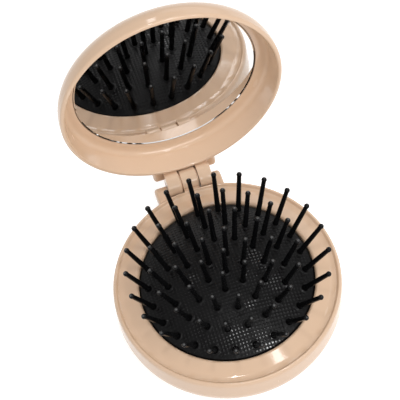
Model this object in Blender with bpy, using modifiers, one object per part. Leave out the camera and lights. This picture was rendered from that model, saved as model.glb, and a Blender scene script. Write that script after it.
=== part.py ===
"""Folding pocket brush with a mirror in its lid, standing open on its base.

The base is a round shell. A rubber cushion domes up through its bezel and carries five
groups of ball-tipped pins. The inner pins stand on a push plate under the rubber, which a
finger reaches through the hole in the floor. The lid turns on a steel pin at the back.
Lengths are in metres. Heights count from the table, radii from the base's own axis.
"""

from math import acos, asin, cos, hypot, pi, radians, sin, sqrt, tan

import bmesh
import bpy
from mathutils import Matrix, Vector

# Whole object
BODY_RADIUS = 0.038
BASE_HEIGHT = 0.015
LID_GAP = 0.0005
LID_OPEN_ANGLE = radians(99.5)
FIT_GAP = 0.0003
CUT_OVERRUN = 0.002
MERGE_DISTANCE = 0.00001

# Facets
TURN_STEPS = 48
FILLET_STEPS = 4
ROUND_STEPS = 2
DOME_STEPS = 6
BARREL_SIDES = 28
PIN_SIDES = 6
SMOOTH_ANGLE = radians(35)

# Base shell
SHELL_WALL = 0.0018
SHELL_FLOOR = 0.0017
RIM_ROUND = 0.0011
RIM_INNER_ROUND = 0.0005
FOOT_ROUND_WIDTH = 0.0055
FOOT_ROUND_HEIGHT = 0.0075
LEDGE_WIDTH = 0.0014
FINGER_HOLE_RADIUS = 0.011
FINGER_HOLE_CHAMFER = 0.0006
SEAT_WALL = 0.0015
SEAT_INSET = 0.0012
SEAT_FOOT_THICKNESS = 0.0012

# Bezel round the cushion
BEZEL_SPAN = 0.0088
BEZEL_CREST_RISE = 0.001
BEZEL_EDGE_DROP = 0.0015
BEZEL_LIP_ROUND = 0.0009
BEZEL_UNDERSIDE_DROP = 0.0029
BEZEL_SKIRT_WALL = 0.0017

# Rubber cushion
DOME_RADIUS = 0.058
DOME_EDGE_RISE = 0.0003
RUBBER = 0.0012
CUSHION_ROLL = 0.0009
FLANGE_CLEARANCE = 0.0006

# Pins and push plate
PIN_LENGTH = 0.0155
PIN_RADIUS = 0.00075
TIP_RADIUS = 0.001
PIN_HEAD_RADIUS = 0.0016
PIN_HEAD_HEIGHT = 0.0008
PINS_PER_RING_STEP = 6
RINGS = 4
PLATE_RINGS = 2
RING_MARGIN = 0.0029
RING_PHASES = (radians(10), radians(29), radians(12.8), radians(3.1))
OUTER_RING_SPREAD = radians(8)
SPREAD_AZIMUTH = radians(-20)
PLATE_MARGIN = 0.0025
PLATE_THICKNESS = 0.0015
PIN_EMBED = 0.0008

# Folding away of the two outer rings: how far each root sinks and where each pin then leans
SECOND_RING_DROP = 0.013
SECOND_RING_CLOSED_LEAN = radians(0)
OUTER_RING_DROP = 0.009
OUTER_RING_CLOSED_LEAN = radians(-4)

# Hinge
BARREL_STANDOFF = 0.0009
HINGE_DROP = 0.0006
HINGE_PIN_RADIUS = 0.0008
KNUCKLE_RADIUS = 0.0044
KNUCKLE_WIDTH = 0.0046
BARREL_RADIUS = 0.0029
TONGUE_HALF_WIDTH = 0.0029
TONGUE_ROOT_DROP = 0.0058
TONGUE_WRAP = radians(60)
CHEEK_WIDTH = 0.0029
CHEEK_RADIUS = 0.0029
CHEEK_SETBACK = 0.0019
CHEEK_DROP = 0.0028
TAB_REACH = 0.0052
TAB_THICKNESS = 0.0044
TAB_ROUND = 0.0012
TAB_ROUND_SEGMENTS = 2

# Lid and mirror
LID_RIM_WIDTH = 0.0016
LID_STRAIGHT = 0.0025
LID_ROUND_WIDTH = 0.01
LID_FLOOR_INSET = 0.0053
LID_COVE = 0.0028
LID_FLOOR_DEPTH = 0.0088
LID_BACK_WALL = 0.0014
MIRROR_INSET = 0.00685
MIRROR_RECESS = 0.0002
MIRROR_THICKNESS = 0.001

# Places that follow from the sizes
HINGE_Y = BODY_RADIUS + BARREL_STANDOFF + BARREL_RADIUS
HINGE_Z = BASE_HEIGHT - HINGE_DROP
SHELL_INNER_RADIUS = BODY_RADIUS - SHELL_WALL
FLOOR_TOP = SHELL_FLOOR
BEZEL_RADIUS = SHELL_INNER_RADIUS - FIT_GAP
BEZEL_UNDERSIDE = BASE_HEIGHT - BEZEL_UNDERSIDE_DROP
FLANGE_TOP = BEZEL_UNDERSIDE - FIT_GAP
FLANGE_BOTTOM = FLANGE_TOP - RUBBER
SEAT_TOP = FLANGE_BOTTOM - FIT_GAP
BEZEL_SKIRT_RADIUS = BEZEL_RADIUS - BEZEL_SKIRT_WALL
FLANGE_RADIUS = BEZEL_SKIRT_RADIUS - FLANGE_CLEARANCE
SEAT_OUTER_RADIUS = FLANGE_RADIUS - SEAT_INSET
SEAT_INNER_RADIUS = SEAT_OUTER_RADIUS - SEAT_WALL
SEAT_BOTTOM = FLOOR_TOP + FIT_GAP
LEDGE_RADIUS = SHELL_INNER_RADIUS - LEDGE_WIDTH
OPENING_RADIUS = BODY_RADIUS - BEZEL_SPAN
CUSHION_RADIUS = OPENING_RADIUS - FIT_GAP
DOME_CENTRE_Z = BASE_HEIGHT + DOME_EDGE_RISE - sqrt(DOME_RADIUS**2 - CUSHION_RADIUS**2)
INNER_DOME_RADIUS = DOME_RADIUS - RUBBER
PLATE_TOP_RADIUS = INNER_DOME_RADIUS - FIT_GAP
RING_PITCH = (CUSHION_RADIUS - RING_MARGIN) / RINGS
PLATE_RADIUS = PLATE_RINGS * RING_PITCH + PLATE_MARGIN
HOLE_RADIUS = PIN_RADIUS + FIT_GAP
BORE_RADIUS = HINGE_PIN_RADIUS + FIT_GAP
LID_CREST = BASE_HEIGHT + LID_GAP
LID_FLOOR_RADIUS = BODY_RADIUS - LID_FLOOR_INSET
MIRROR_RADIUS = BODY_RADIUS - MIRROR_INSET
MIRROR_FACE = LID_CREST + LID_FLOOR_DEPTH + MIRROR_RECESS
MIRROR_BACK = MIRROR_FACE + MIRROR_THICKNESS
LID_BACK = MIRROR_BACK + FIT_GAP + LID_BACK_WALL
KNUCKLE_INNER = TONGUE_HALF_WIDTH + FIT_GAP
KNUCKLE_OUTER = KNUCKLE_INNER + KNUCKLE_WIDTH
CHEEK_INNER = KNUCKLE_OUTER + FIT_GAP
CHEEK_OUTER = CHEEK_INNER + CHEEK_WIDTH
TAB_BOTTOM = HINGE_Z + BARREL_RADIUS + FIT_GAP

# Colours, linear, with roughness and metallic value
FINISHES = {
    "beige_plastic": ((0.70, 0.50, 0.35), 0.32, 0.0),
    "black_rubber": ((0.012, 0.012, 0.014), 0.55, 0.0),
    "black_nylon": ((0.010, 0.010, 0.011), 0.35, 0.0),
    "mirror_glass": ((0.90, 0.91, 0.92), 0.02, 1.0),
    "steel": ((0.56, 0.56, 0.58), 0.25, 1.0),
}


def clear_scene():
    """Remove every object of the open file."""
    for thing in list(bpy.data.objects):
        bpy.data.objects.remove(thing, do_unlink=True)


def new_collection(name):
    """Make a collection and link it to the scene."""
    collection = bpy.data.collections.new(name)
    bpy.context.scene.collection.children.link(collection)
    return collection


def finish(name):
    """Find or make the Principled material of an entry in FINISHES."""
    colour, roughness, metallic = FINISHES[name]
    material = bpy.data.materials.get(name) or bpy.data.materials.new(name)
    material.use_nodes = True
    shader = material.node_tree.nodes["Principled BSDF"]
    shader.inputs["Base Color"].default_value = (*colour, 1.0)
    shader.inputs["Roughness"].default_value = roughness
    shader.inputs["Metallic"].default_value = metallic
    return material


def new_empty(name, collection, placement, parent=None):
    """Make an empty that carries the pieces of one body, on its joint's axis."""
    empty = bpy.data.objects.new(name, None)
    collection.objects.link(empty)
    empty.parent = parent
    empty.matrix_local = placement
    return empty


def new_object(name, mesh, collection, parent, material=None, placement=None):
    """Link a mesh as a named object under its parent."""
    thing = bpy.data.objects.new(name, mesh)
    collection.objects.link(thing)
    thing.parent = parent
    if placement:
        thing.matrix_local = placement
    if material:
        mesh.materials.append(material)
    mesh.shade_smooth()
    mesh.set_sharp_from_angle(angle=SMOOTH_ANGLE)
    return thing


def as_cutter(thing):
    """Mark an object as a construction solid that is not part of the model."""
    thing.hide_render = True
    thing.display_type = "WIRE"
    return thing


def combine(target, other, operation):
    """Add a Boolean modifier that joins or cuts with the exact solver."""
    modifier = target.modifiers.new(other.name, "BOOLEAN")
    modifier.operation = operation
    modifier.solver = "EXACT"
    modifier.object = as_cutter(other)


def arc(centre_r, centre_z, radius, start, end, steps, height=None):
    """Points of a round or, with a height of its own, elliptical arc, from outwards up."""
    rise = height or radius
    turns = (start + (end - start) * step / steps for step in range(steps + 1))
    return [(centre_r + radius * cos(turn), centre_z + rise * sin(turn)) for turn in turns]


def profile_mesh(name, points, closed):
    """Mesh with the points of a turned profile and the edges between them."""
    mesh = bpy.data.meshes.new(name)
    edges = [(index, index + 1) for index in range(len(points) - 1)]
    if closed:
        edges.append((len(points) - 1, 0))
    mesh.from_pydata([(radius, 0, height) for radius, height in points], edges, [])
    return mesh


def turn_profile(thing, steps):
    """Turn an object's profile round its own Z axis."""
    screw = thing.modifiers.new("turn", "SCREW")
    screw.steps = steps
    screw.render_steps = steps
    screw.use_merge_vertices = True
    screw.merge_threshold = MERGE_DISTANCE
    return thing


def add_box(mesh_builder, low, high):
    """Add a box between two corners to a bmesh."""
    made = bmesh.ops.create_cube(mesh_builder, size=1)
    size = Vector(high) - Vector(low)
    middle = (Vector(high) + Vector(low)) / 2
    bmesh.ops.scale(mesh_builder, vec=size, verts=made["verts"])
    bmesh.ops.translate(mesh_builder, vec=middle, verts=made["verts"])


def add_cross_barrel(mesh_builder, radius, low_x, high_x, centre_y, centre_z):
    """Add a cylinder along X to a bmesh."""
    place = Matrix.Translation(((low_x + high_x) / 2, centre_y, centre_z))
    bmesh.ops.create_cone(
        mesh_builder,
        cap_ends=True,
        segments=BARREL_SIDES,
        radius1=radius,
        radius2=radius,
        depth=high_x - low_x,
        matrix=place @ Matrix.Rotation(pi / 2, 4, "Y"),
    )


def built_mesh(name, fill):
    """Mesh filled by a function that adds primitives to a bmesh."""
    mesh_builder = bmesh.new()
    fill(mesh_builder)
    mesh = bpy.data.meshes.new(name)
    mesh_builder.to_mesh(mesh)
    mesh_builder.free()
    return mesh


def outline_mesh(name, outline, low_x, high_x):
    """Plate with a flat outline in the Y and Z plane, as thick as the span in X."""
    curve = bpy.data.curves.new(name, "CURVE")
    curve.dimensions = "2D"
    curve.fill_mode = "BOTH"
    curve.extrude = (high_x - low_x) / 2
    spline = curve.splines.new("POLY")
    spline.points.add(len(outline) - 1)
    spline.use_cyclic_u = True
    for point, (y, z) in zip(spline.points, outline):
        point.co = (y, z, 0, 1)
    holder = bpy.data.objects.new(name, curve)
    bpy.context.scene.collection.objects.link(holder)
    evaluated = holder.evaluated_get(bpy.context.evaluated_depsgraph_get())
    mesh = bpy.data.meshes.new_from_object(evaluated)
    bpy.data.objects.remove(holder)
    mesh_builder = bmesh.new()
    mesh_builder.from_mesh(mesh)
    bmesh.ops.remove_doubles(mesh_builder, verts=mesh_builder.verts, dist=MERGE_DISTANCE)
    upright = Matrix(((0, 0, 1), (1, 0, 0), (0, 1, 0))).to_4x4()
    shift = Matrix.Translation(((low_x + high_x) / 2, 0, 0))
    mesh_builder.transform(shift @ upright)
    bmesh.ops.recalc_face_normals(mesh_builder, faces=mesh_builder.faces)
    mesh_builder.to_mesh(mesh)
    mesh_builder.free()
    return mesh


def dome_height(radius_from_axis):
    """Height of the rubber's outer surface at a distance from the axis."""
    return DOME_CENTRE_Z + sqrt(DOME_RADIUS**2 - radius_from_axis**2)


def dome_arc(radius, outer_angle, outwards):
    """Points along the dome between its top and an angle from the axis."""
    ends = (pi / 2, pi / 2 - outer_angle)
    start, end = ends if outwards else reversed(ends)
    return arc(0, DOME_CENTRE_Z, radius, start, end, DOME_STEPS)


def base_profile():
    """Section of the base shell, down its outer side and back up the inside."""
    rim_centre = BODY_RADIUS - RIM_ROUND
    foot_centre = (BODY_RADIUS - FOOT_ROUND_WIDTH, FOOT_ROUND_HEIGHT)
    foot = arc(*foot_centre, FOOT_ROUND_WIDTH, 0, -pi / 2, FILLET_STEPS, FOOT_ROUND_HEIGHT)
    return [
        *arc(rim_centre, BASE_HEIGHT - RIM_ROUND, RIM_ROUND, pi / 2, 0, ROUND_STEPS),
        *foot,
        (FINGER_HOLE_RADIUS + FINGER_HOLE_CHAMFER, 0),
        (FINGER_HOLE_RADIUS, FINGER_HOLE_CHAMFER),
        (FINGER_HOLE_RADIUS, FLOOR_TOP),
        (LEDGE_RADIUS, FLOOR_TOP),
        (LEDGE_RADIUS, SEAT_TOP),
        (SHELL_INNER_RADIUS, SEAT_TOP),
        (SHELL_INNER_RADIUS, BASE_HEIGHT - RIM_INNER_ROUND),
    ]


def seat_profile():
    """Section of the ring that the rubber's flange lies on, with a foot that centres it."""
    foot_radius = LEDGE_RADIUS - FIT_GAP
    foot_top = SEAT_BOTTOM + SEAT_FOOT_THICKNESS
    return [
        (SEAT_OUTER_RADIUS, SEAT_TOP),
        (SEAT_OUTER_RADIUS, foot_top),
        (foot_radius, foot_top),
        (foot_radius, SEAT_BOTTOM),
        (SEAT_INNER_RADIUS, SEAT_BOTTOM),
        (SEAT_INNER_RADIUS, SEAT_TOP),
    ]


def bezel_profile():
    """Section of the bezel: lip, cone down to the crease, skirt, pressing face."""
    lip_r = OPENING_RADIUS + BEZEL_LIP_ROUND
    lip_z = BASE_HEIGHT + BEZEL_CREST_RISE - BEZEL_LIP_ROUND
    lip = arc(lip_r, lip_z, BEZEL_LIP_ROUND, pi, pi / 2, FILLET_STEPS)
    return [
        *lip,
        (BEZEL_RADIUS, BASE_HEIGHT - BEZEL_EDGE_DROP),
        (BEZEL_RADIUS, SEAT_TOP + FIT_GAP),
        (BEZEL_SKIRT_RADIUS, SEAT_TOP + FIT_GAP),
        (BEZEL_SKIRT_RADIUS, BEZEL_UNDERSIDE),
        (OPENING_RADIUS, BEZEL_UNDERSIDE),
    ]


def cushion_profile():
    """Section of the rubber: dome, rolled edge, wall, flange, and back underneath."""
    roll_r = CUSHION_RADIUS - CUSHION_ROLL
    roll_z = dome_height(roll_r) - CUSHION_ROLL
    inner_roll = CUSHION_ROLL
    inner_wall = CUSHION_RADIUS - RUBBER
    inner_r = inner_wall - inner_roll
    inner_z = DOME_CENTRE_Z + sqrt(INNER_DOME_RADIUS**2 - inner_r**2) - inner_roll
    return [
        *dome_arc(DOME_RADIUS, asin(roll_r / DOME_RADIUS), True),
        *arc(roll_r, roll_z, CUSHION_ROLL, pi / 4, 0, 1),
        (CUSHION_RADIUS, FLANGE_TOP),
        (FLANGE_RADIUS, FLANGE_TOP),
        (FLANGE_RADIUS, FLANGE_BOTTOM),
        (inner_wall, FLANGE_BOTTOM),
        *arc(inner_r, inner_z, inner_roll, 0, pi / 4, 1),
        *dome_arc(INNER_DOME_RADIUS, asin(inner_r / INNER_DOME_RADIUS), False),
    ]


def plate_profile():
    """Section of the push plate, which follows the underside of the dome."""
    under_radius = PLATE_TOP_RADIUS - PLATE_THICKNESS
    under_rim = PLATE_RADIUS * under_radius / PLATE_TOP_RADIUS
    return [
        *dome_arc(PLATE_TOP_RADIUS, asin(PLATE_RADIUS / PLATE_TOP_RADIUS), True),
        *dome_arc(under_radius, asin(under_rim / under_radius), False),
    ]


def lid_profile():
    """Section of the closed lid: back, outer side, rim, inner wall, mirror pocket."""
    rim_centre = BODY_RADIUS - RIM_ROUND
    inner_rim = BODY_RADIUS - LID_RIM_WIDTH
    cove_z = LID_CREST + LID_FLOOR_DEPTH - LID_COVE
    pocket_radius = MIRROR_RADIUS + FIT_GAP
    pocket_z = MIRROR_BACK + FIT_GAP
    shoulder = (BODY_RADIUS - LID_ROUND_WIDTH, LID_CREST + LID_STRAIGHT)
    round_height = LID_BACK - shoulder[1]
    return [
        (0, LID_BACK),
        *arc(*shoulder, LID_ROUND_WIDTH, pi / 2, 0, FILLET_STEPS, round_height),
        *arc(rim_centre, LID_CREST + RIM_ROUND, RIM_ROUND, 0, -pi / 2, ROUND_STEPS),
        (inner_rim, LID_CREST + RIM_INNER_ROUND),
        *arc(LID_FLOOR_RADIUS, cove_z, LID_COVE, 0, pi / 2, FILLET_STEPS),
        (pocket_radius, LID_CREST + LID_FLOOR_DEPTH),
        (pocket_radius, pocket_z),
        (0, pocket_z),
    ]


def pin_profile(with_head):
    """Section of a pin, from its ball tip down to its head or its buried end."""
    tip_z = PIN_LENGTH - TIP_RADIUS
    neck = -acos(PIN_RADIUS / TIP_RADIUS)
    head_top = -RUBBER - FIT_GAP
    ball = [(0, PIN_LENGTH), *arc(0, tip_z, TIP_RADIUS, pi / 4, 0, 1)]
    ball.append((PIN_RADIUS, tip_z + TIP_RADIUS * sin(neck)))
    if not with_head:
        end = head_top - PIN_EMBED
        return [*ball, (PIN_RADIUS, end), (0, end)]
    return [
        *ball,
        (PIN_RADIUS, head_top),
        (PIN_HEAD_RADIUS, head_top),
        (PIN_HEAD_RADIUS, head_top - PIN_HEAD_HEIGHT),
        (0, head_top - PIN_HEAD_HEIGHT),
    ]


def ring_directions(ring):
    """Azimuths of the pins of one ring, the innermost ring being number one."""
    count = PINS_PER_RING_STEP * ring
    return [RING_PHASES[ring - 1] + 2 * pi * index / count for index in range(count)]


def open_lean(ring, azimuth):
    """Lean of a pin: square to the dome, and further out on one side of the outer ring."""
    lean = asin(RING_PITCH * ring / DOME_RADIUS)
    if ring < RINGS:
        return lean
    return lean + OUTER_RING_SPREAD * max(0, cos(azimuth - SPREAD_AZIMUTH)) ** 2


def root_placement(ring, azimuth):
    """Where a pin leaves the rubber, and its lean."""
    radius = RING_PITCH * ring
    spot = (radius, 0, dome_height(radius))
    outwards = Matrix.Rotation(azimuth, 4, "Z")
    lean = Matrix.Rotation(open_lean(ring, azimuth), 4, "Y")
    return outwards @ Matrix.Translation(spot) @ lean


def ring_placements(first, last):
    """Placements of the pins of a run of rings."""
    rings = range(first, last + 1)
    return [root_placement(ring, turn) for ring in rings for turn in ring_directions(ring)]


def plate_placements():
    """Placements of the pins that stand on the push plate, the middle one first."""
    middle = Matrix.Translation((0, 0, dome_height(0)))
    return [middle, *ring_placements(1, PLATE_RINGS)]


def all_placements():
    """Placements of every pin, for the holes in the rubber."""
    return plate_placements() + ring_placements(PLATE_RINGS + 1, RINGS)


def fold_pivot(ring, azimuth, drop, closed_lean):
    """Radius and height of the point that a pin's swing from open to closed turns about."""
    radius = RING_PITCH * ring
    swing = open_lean(ring, azimuth) - closed_lean
    return radius + drop / (2 * tan(swing / 2)), dome_height(radius) - drop / 2


def lid_reach_back():
    """How far behind the base's axis the open lid reaches."""
    turn = -LID_OPEN_ANGLE
    edge = ((-radius - HINGE_Y, height - HINGE_Z) for radius, height in lid_profile())
    return HINGE_Y + max(y * cos(turn) - z * sin(turn) for y, z in edge)


def tongue_outline():
    """Side view of the base's middle knuckle: a ramp onto the barrel, and a gusset below."""
    root_y = SHELL_INNER_RADIUS + FIT_GAP
    foot_z = HINGE_Z - TONGUE_ROOT_DROP
    ramp_start = (BODY_RADIUS + FIT_GAP, BASE_HEIGHT - FIT_GAP)
    span = hypot(ramp_start[0] - HINGE_Y, ramp_start[1] - HINGE_Z)
    slope = pi - asin((ramp_start[1] - HINGE_Z) / span)
    first = slope - acos(BARREL_RADIUS / span)
    barrel = arc(HINGE_Y, HINGE_Z, BARREL_RADIUS, first, -TONGUE_WRAP, BARREL_SIDES // 2)
    return [(root_y, foot_z), (root_y, ramp_start[1]), ramp_start, *barrel]


def knuckle_outline():
    """Side view of a lid knuckle, closed: a block on the lid's wall, rounded about the axis."""
    root_y = SHELL_INNER_RADIUS + FIT_GAP
    bottom = LID_CREST + RIM_INNER_ROUND
    top = TAB_BOTTOM + TAB_THICKNESS / 2
    last = -pi - asin((bottom - HINGE_Z) / KNUCKLE_RADIUS)
    barrel = arc(HINGE_Y, HINGE_Z, KNUCKLE_RADIUS, pi / 2, last, BARREL_SIDES)
    return [(root_y, bottom), (root_y, top), (HINGE_Y, top), *barrel]


def cheek_outline():
    """Side view of a cheek beside the knuckles: a rounded lug level with the rim."""
    root_y = SHELL_INNER_RADIUS + FIT_GAP - RIM_ROUND
    centre_y = HINGE_Y - CHEEK_SETBACK
    centre_z = HINGE_Z - CHEEK_DROP
    lug = arc(centre_y, centre_z, CHEEK_RADIUS, pi / 2, -pi / 2, BARREL_SIDES // 2)
    return [(root_y, centre_z - CHEEK_RADIUS), (root_y, centre_z + CHEEK_RADIUS), *lug]


def make_base(parts, cutters, base):
    """Base shell with its middle knuckle, its cheeks and the recesses between them."""
    shell = new_object(
        "base_shell", profile_mesh("base_shell", base_profile(), True), parts, base,
        finish("beige_plastic"),
    )
    turn_profile(shell, TURN_STEPS)

    def recess(mesh_builder):
        sweep = KNUCKLE_RADIUS + FIT_GAP
        add_cross_barrel(mesh_builder, sweep, -CHEEK_INNER, CHEEK_INNER, HINGE_Y, HINGE_Z)

    def bore(mesh_builder):
        reach = TONGUE_HALF_WIDTH + CUT_OVERRUN
        add_cross_barrel(mesh_builder, BORE_RADIUS, -reach, reach, HINGE_Y, HINGE_Z)

    cutter = new_object("recess", built_mesh("knuckle_recess", recess), cutters, base)
    combine(shell, cutter, "DIFFERENCE")
    tongue = outline_mesh("tongue", tongue_outline(), -TONGUE_HALF_WIDTH, TONGUE_HALF_WIDTH)
    combine(shell, new_object("tongue", tongue, cutters, base), "UNION")
    for side in (-1, 1):
        low, high = sorted((side * CHEEK_INNER, side * CHEEK_OUTER))
        name = "cheek_left" if side < 0 else "cheek_right"
        cheek = outline_mesh(name, cheek_outline(), low, high)
        combine(shell, new_object(name, cheek, cutters, base), "UNION")
    cutter = new_object("tongue_bore", built_mesh("tongue_bore", bore), cutters, base)
    combine(shell, cutter, "DIFFERENCE")


def make_seat(parts, base):
    """Loose ring inside the base that carries the cushion's flange."""
    mesh = profile_mesh("cushion_seat", seat_profile(), True)
    seat = new_object("cushion_seat", mesh, parts, base, finish("beige_plastic"))
    turn_profile(seat, TURN_STEPS)


def make_bezel(parts, base):
    """Bezel that clamps the cushion's flange."""
    mesh = profile_mesh("cushion_bezel", bezel_profile(), True)
    bezel = new_object("cushion_bezel", mesh, parts, base, finish("beige_plastic"))
    turn_profile(bezel, TURN_STEPS)


def make_cushion(parts, cutters, base):
    """Rubber cushion, popped up, with a hole for every pin."""
    mesh = profile_mesh("cushion", cushion_profile(), False)
    cushion = new_object("cushion", mesh, parts, base, finish("black_rubber"))
    turn_profile(cushion, TURN_STEPS)

    def holes(mesh_builder):
        depth = RUBBER + 2 * CUT_OVERRUN
        for placement in all_placements():
            bmesh.ops.create_cone(
                mesh_builder,
                cap_ends=True,
                segments=PIN_SIDES,
                radius1=HOLE_RADIUS,
                radius2=HOLE_RADIUS,
                depth=depth,
                matrix=placement @ Matrix.Translation((0, 0, -RUBBER / 2)),
            )

    cutter = new_object("pin_holes", built_mesh("pin_holes", holes), cutters, base)
    combine(cushion, cutter, "DIFFERENCE")


def make_push_plate(parts, cutters, base):
    """Push plate with the middle pin and the two inner rings moulded on it."""
    carrier = new_empty("plate_slide", parts, Matrix.Identity(4), base)
    mesh = profile_mesh("push_plate", plate_profile(), False)
    plate = new_object("push_plate", mesh, parts, carrier, finish("black_nylon"))
    turn_profile(plate, TURN_STEPS // 2)
    for index, placement in enumerate(plate_placements(), start=1):
        name = f"plate_pin_{index:02d}"
        pin = new_object(
            name, profile_mesh(name, pin_profile(False), False), cutters, carrier,
            placement=placement,
        )
        turn_profile(pin, PIN_SIDES)
        combine(plate, pin, "UNION")


def make_loose_pins(parts, base, ring, label, drop, closed_lean):
    """Pins of one outer ring, each under an empty on the axis that it folds about."""
    mesh = profile_mesh(label, pin_profile(True), False)
    mesh.materials.append(finish("black_nylon"))
    for index, azimuth in enumerate(ring_directions(ring), start=1):
        pivot_radius, pivot_z = fold_pivot(ring, azimuth, drop, closed_lean)
        outwards = Matrix.Rotation(azimuth, 4, "Z")
        pivot_place = outwards @ Matrix.Translation((pivot_radius, 0, pivot_z))
        pivot = new_empty(f"{label}_fold_{index:02d}", parts, pivot_place, base)
        placement = pivot_place.inverted() @ root_placement(ring, azimuth)
        pin = new_object(f"{label}_{index:02d}", mesh, parts, pivot, placement=placement)
        turn_profile(pin, PIN_SIDES)


def make_lid(parts, cutters, hinge):
    """Lid shell with the tab and the two knuckles at its back, modelled closed."""
    to_axis = Matrix.Translation((0, -HINGE_Y, -HINGE_Z))
    wall_middle = BODY_RADIUS - LID_RIM_WIDTH / 2
    lid = new_object(
        "lid_shell", profile_mesh("lid_shell", lid_profile(), False), parts, hinge,
        finish("beige_plastic"), to_axis,
    )
    turn_profile(lid, TURN_STEPS)

    def tab(mesh_builder):
        low = (-CHEEK_OUTER, 0, TAB_BOTTOM)
        high = (CHEEK_OUTER, BODY_RADIUS + TAB_REACH, TAB_BOTTOM + TAB_THICKNESS)
        add_box(mesh_builder, low, high)

    def tab_trim(mesh_builder):
        bmesh.ops.create_cone(
            mesh_builder,
            cap_ends=True,
            segments=TURN_STEPS,
            radius1=wall_middle,
            radius2=wall_middle,
            depth=TAB_THICKNESS + 2 * CUT_OVERRUN,
            matrix=Matrix.Translation((0, 0, TAB_BOTTOM + TAB_THICKNESS / 2)),
        )

    def bore(mesh_builder):
        reach = KNUCKLE_OUTER + CUT_OVERRUN
        add_cross_barrel(mesh_builder, BORE_RADIUS, -reach, reach, HINGE_Y, HINGE_Z)

    tab_piece = new_object("lid_tab", built_mesh("lid_tab", tab), cutters, hinge, None, to_axis)
    rounding = tab_piece.modifiers.new("round", "BEVEL")
    rounding.width = TAB_ROUND
    rounding.segments = TAB_ROUND_SEGMENTS
    trim = new_object("tab_trim", built_mesh("tab_trim", tab_trim), cutters, hinge, None, to_axis)
    combine(tab_piece, trim, "DIFFERENCE")
    combine(lid, tab_piece, "UNION")
    for side, name in ((-1, "lid_knuckle_left"), (1, "lid_knuckle_right")):
        low, high = sorted((side * KNUCKLE_INNER, side * KNUCKLE_OUTER))
        knuckle = outline_mesh(name, knuckle_outline(), low, high)
        combine(lid, new_object(name, knuckle, cutters, hinge, None, to_axis), "UNION")
    cutter = new_object("lid_bore", built_mesh("lid_bore", bore), cutters, hinge, None, to_axis)
    combine(lid, cutter, "DIFFERENCE")


def make_mirror(parts, hinge):
    """Round glass mirror in the pocket of the lid."""
    outline = [
        (0, MIRROR_BACK),
        (MIRROR_RADIUS, MIRROR_BACK),
        (MIRROR_RADIUS, MIRROR_FACE),
        (0, MIRROR_FACE),
    ]
    mirror = new_object(
        "mirror", profile_mesh("mirror", outline, False), parts, hinge,
        finish("mirror_glass"), Matrix.Translation((0, -HINGE_Y, -HINGE_Z)),
    )
    turn_profile(mirror, TURN_STEPS)


def make_hinge_pin(parts, base):
    """Steel pin through the tongue and the two lid knuckles."""
    def fill(mesh_builder):
        reach = KNUCKLE_OUTER - FIT_GAP
        add_cross_barrel(mesh_builder, HINGE_PIN_RADIUS, -reach, reach, HINGE_Y, HINGE_Z)

    mesh = built_mesh("hinge_pin", fill)
    new_object("hinge_pin", mesh, parts, base, finish("steel"))


def main():
    """Build the whole brush, open, its bounding box centred on the origin."""
    clear_scene()
    parts = new_collection("pocket_mirror_comb")
    cutters = new_collection("construction")
    base_y = (BODY_RADIUS - lid_reach_back()) / 2
    base = new_empty("base_axis", parts, Matrix.Translation((0, base_y, 0)))
    opened = Matrix.Rotation(-LID_OPEN_ANGLE, 4, "X")
    hinge_place = Matrix.Translation((0, HINGE_Y, HINGE_Z)) @ opened
    hinge = new_empty("lid_hinge_axis", parts, hinge_place, base)
    make_base(parts, cutters, base)
    make_seat(parts, base)
    make_bezel(parts, base)
    make_cushion(parts, cutters, base)
    make_push_plate(parts, cutters, base)
    second, outer = range(PLATE_RINGS + 1, RINGS + 1)
    make_loose_pins(
        parts, base, second, "second_ring_pin", SECOND_RING_DROP, SECOND_RING_CLOSED_LEAN
    )
    make_loose_pins(
        parts, base, outer, "outer_ring_pin", OUTER_RING_DROP, OUTER_RING_CLOSED_LEAN
    )
    make_lid(parts, cutters, hinge)
    make_mirror(parts, hinge)
    make_hinge_pin(parts, base)


main()
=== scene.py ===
"""Folding pocket brush with a mirror in its lid: the visible model over its fixed frame.

The frame says where every piece is. Each class here models one sub-assembly in that place and
dresses it: the base with its bezel, the rubber cushion, the pins with their push plate, and the
lid with its mirror and hinge pin. Lengths are in metres, and the pins point up.
"""

from __future__ import annotations

import logging
from collections.abc import Callable, Iterator, Sequence
from contextlib import contextmanager
from dataclasses import dataclass
from enum import Enum
from math import acos, asin, atan, cos, hypot, pi, radians, sin, sqrt
from typing import Any

import bmesh
import bpy
import numpy as np
from mathutils import Matrix, Quaternion, Vector
from mathutils.geometry import interpolate_bezier

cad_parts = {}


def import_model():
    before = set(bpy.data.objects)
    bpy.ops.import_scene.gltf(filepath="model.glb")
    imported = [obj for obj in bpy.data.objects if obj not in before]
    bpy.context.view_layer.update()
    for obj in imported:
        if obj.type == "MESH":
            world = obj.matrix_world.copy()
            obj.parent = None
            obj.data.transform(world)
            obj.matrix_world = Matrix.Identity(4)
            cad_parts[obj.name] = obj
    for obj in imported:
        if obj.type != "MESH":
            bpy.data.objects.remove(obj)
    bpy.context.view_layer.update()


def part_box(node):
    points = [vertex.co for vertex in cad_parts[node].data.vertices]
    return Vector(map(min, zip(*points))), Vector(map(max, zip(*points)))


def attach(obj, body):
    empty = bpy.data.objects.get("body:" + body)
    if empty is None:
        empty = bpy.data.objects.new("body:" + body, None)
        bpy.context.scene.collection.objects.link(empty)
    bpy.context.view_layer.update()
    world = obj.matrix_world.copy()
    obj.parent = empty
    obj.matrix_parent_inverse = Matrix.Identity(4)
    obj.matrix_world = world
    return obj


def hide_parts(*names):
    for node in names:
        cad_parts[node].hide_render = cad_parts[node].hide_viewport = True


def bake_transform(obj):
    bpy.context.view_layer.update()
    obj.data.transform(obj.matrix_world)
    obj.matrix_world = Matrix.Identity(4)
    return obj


LOG = logging.getLogger("pocket_brush")
WELD = 0.000001
SLIVER = 0.000003
PINHOLE_SIDES = 16
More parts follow.
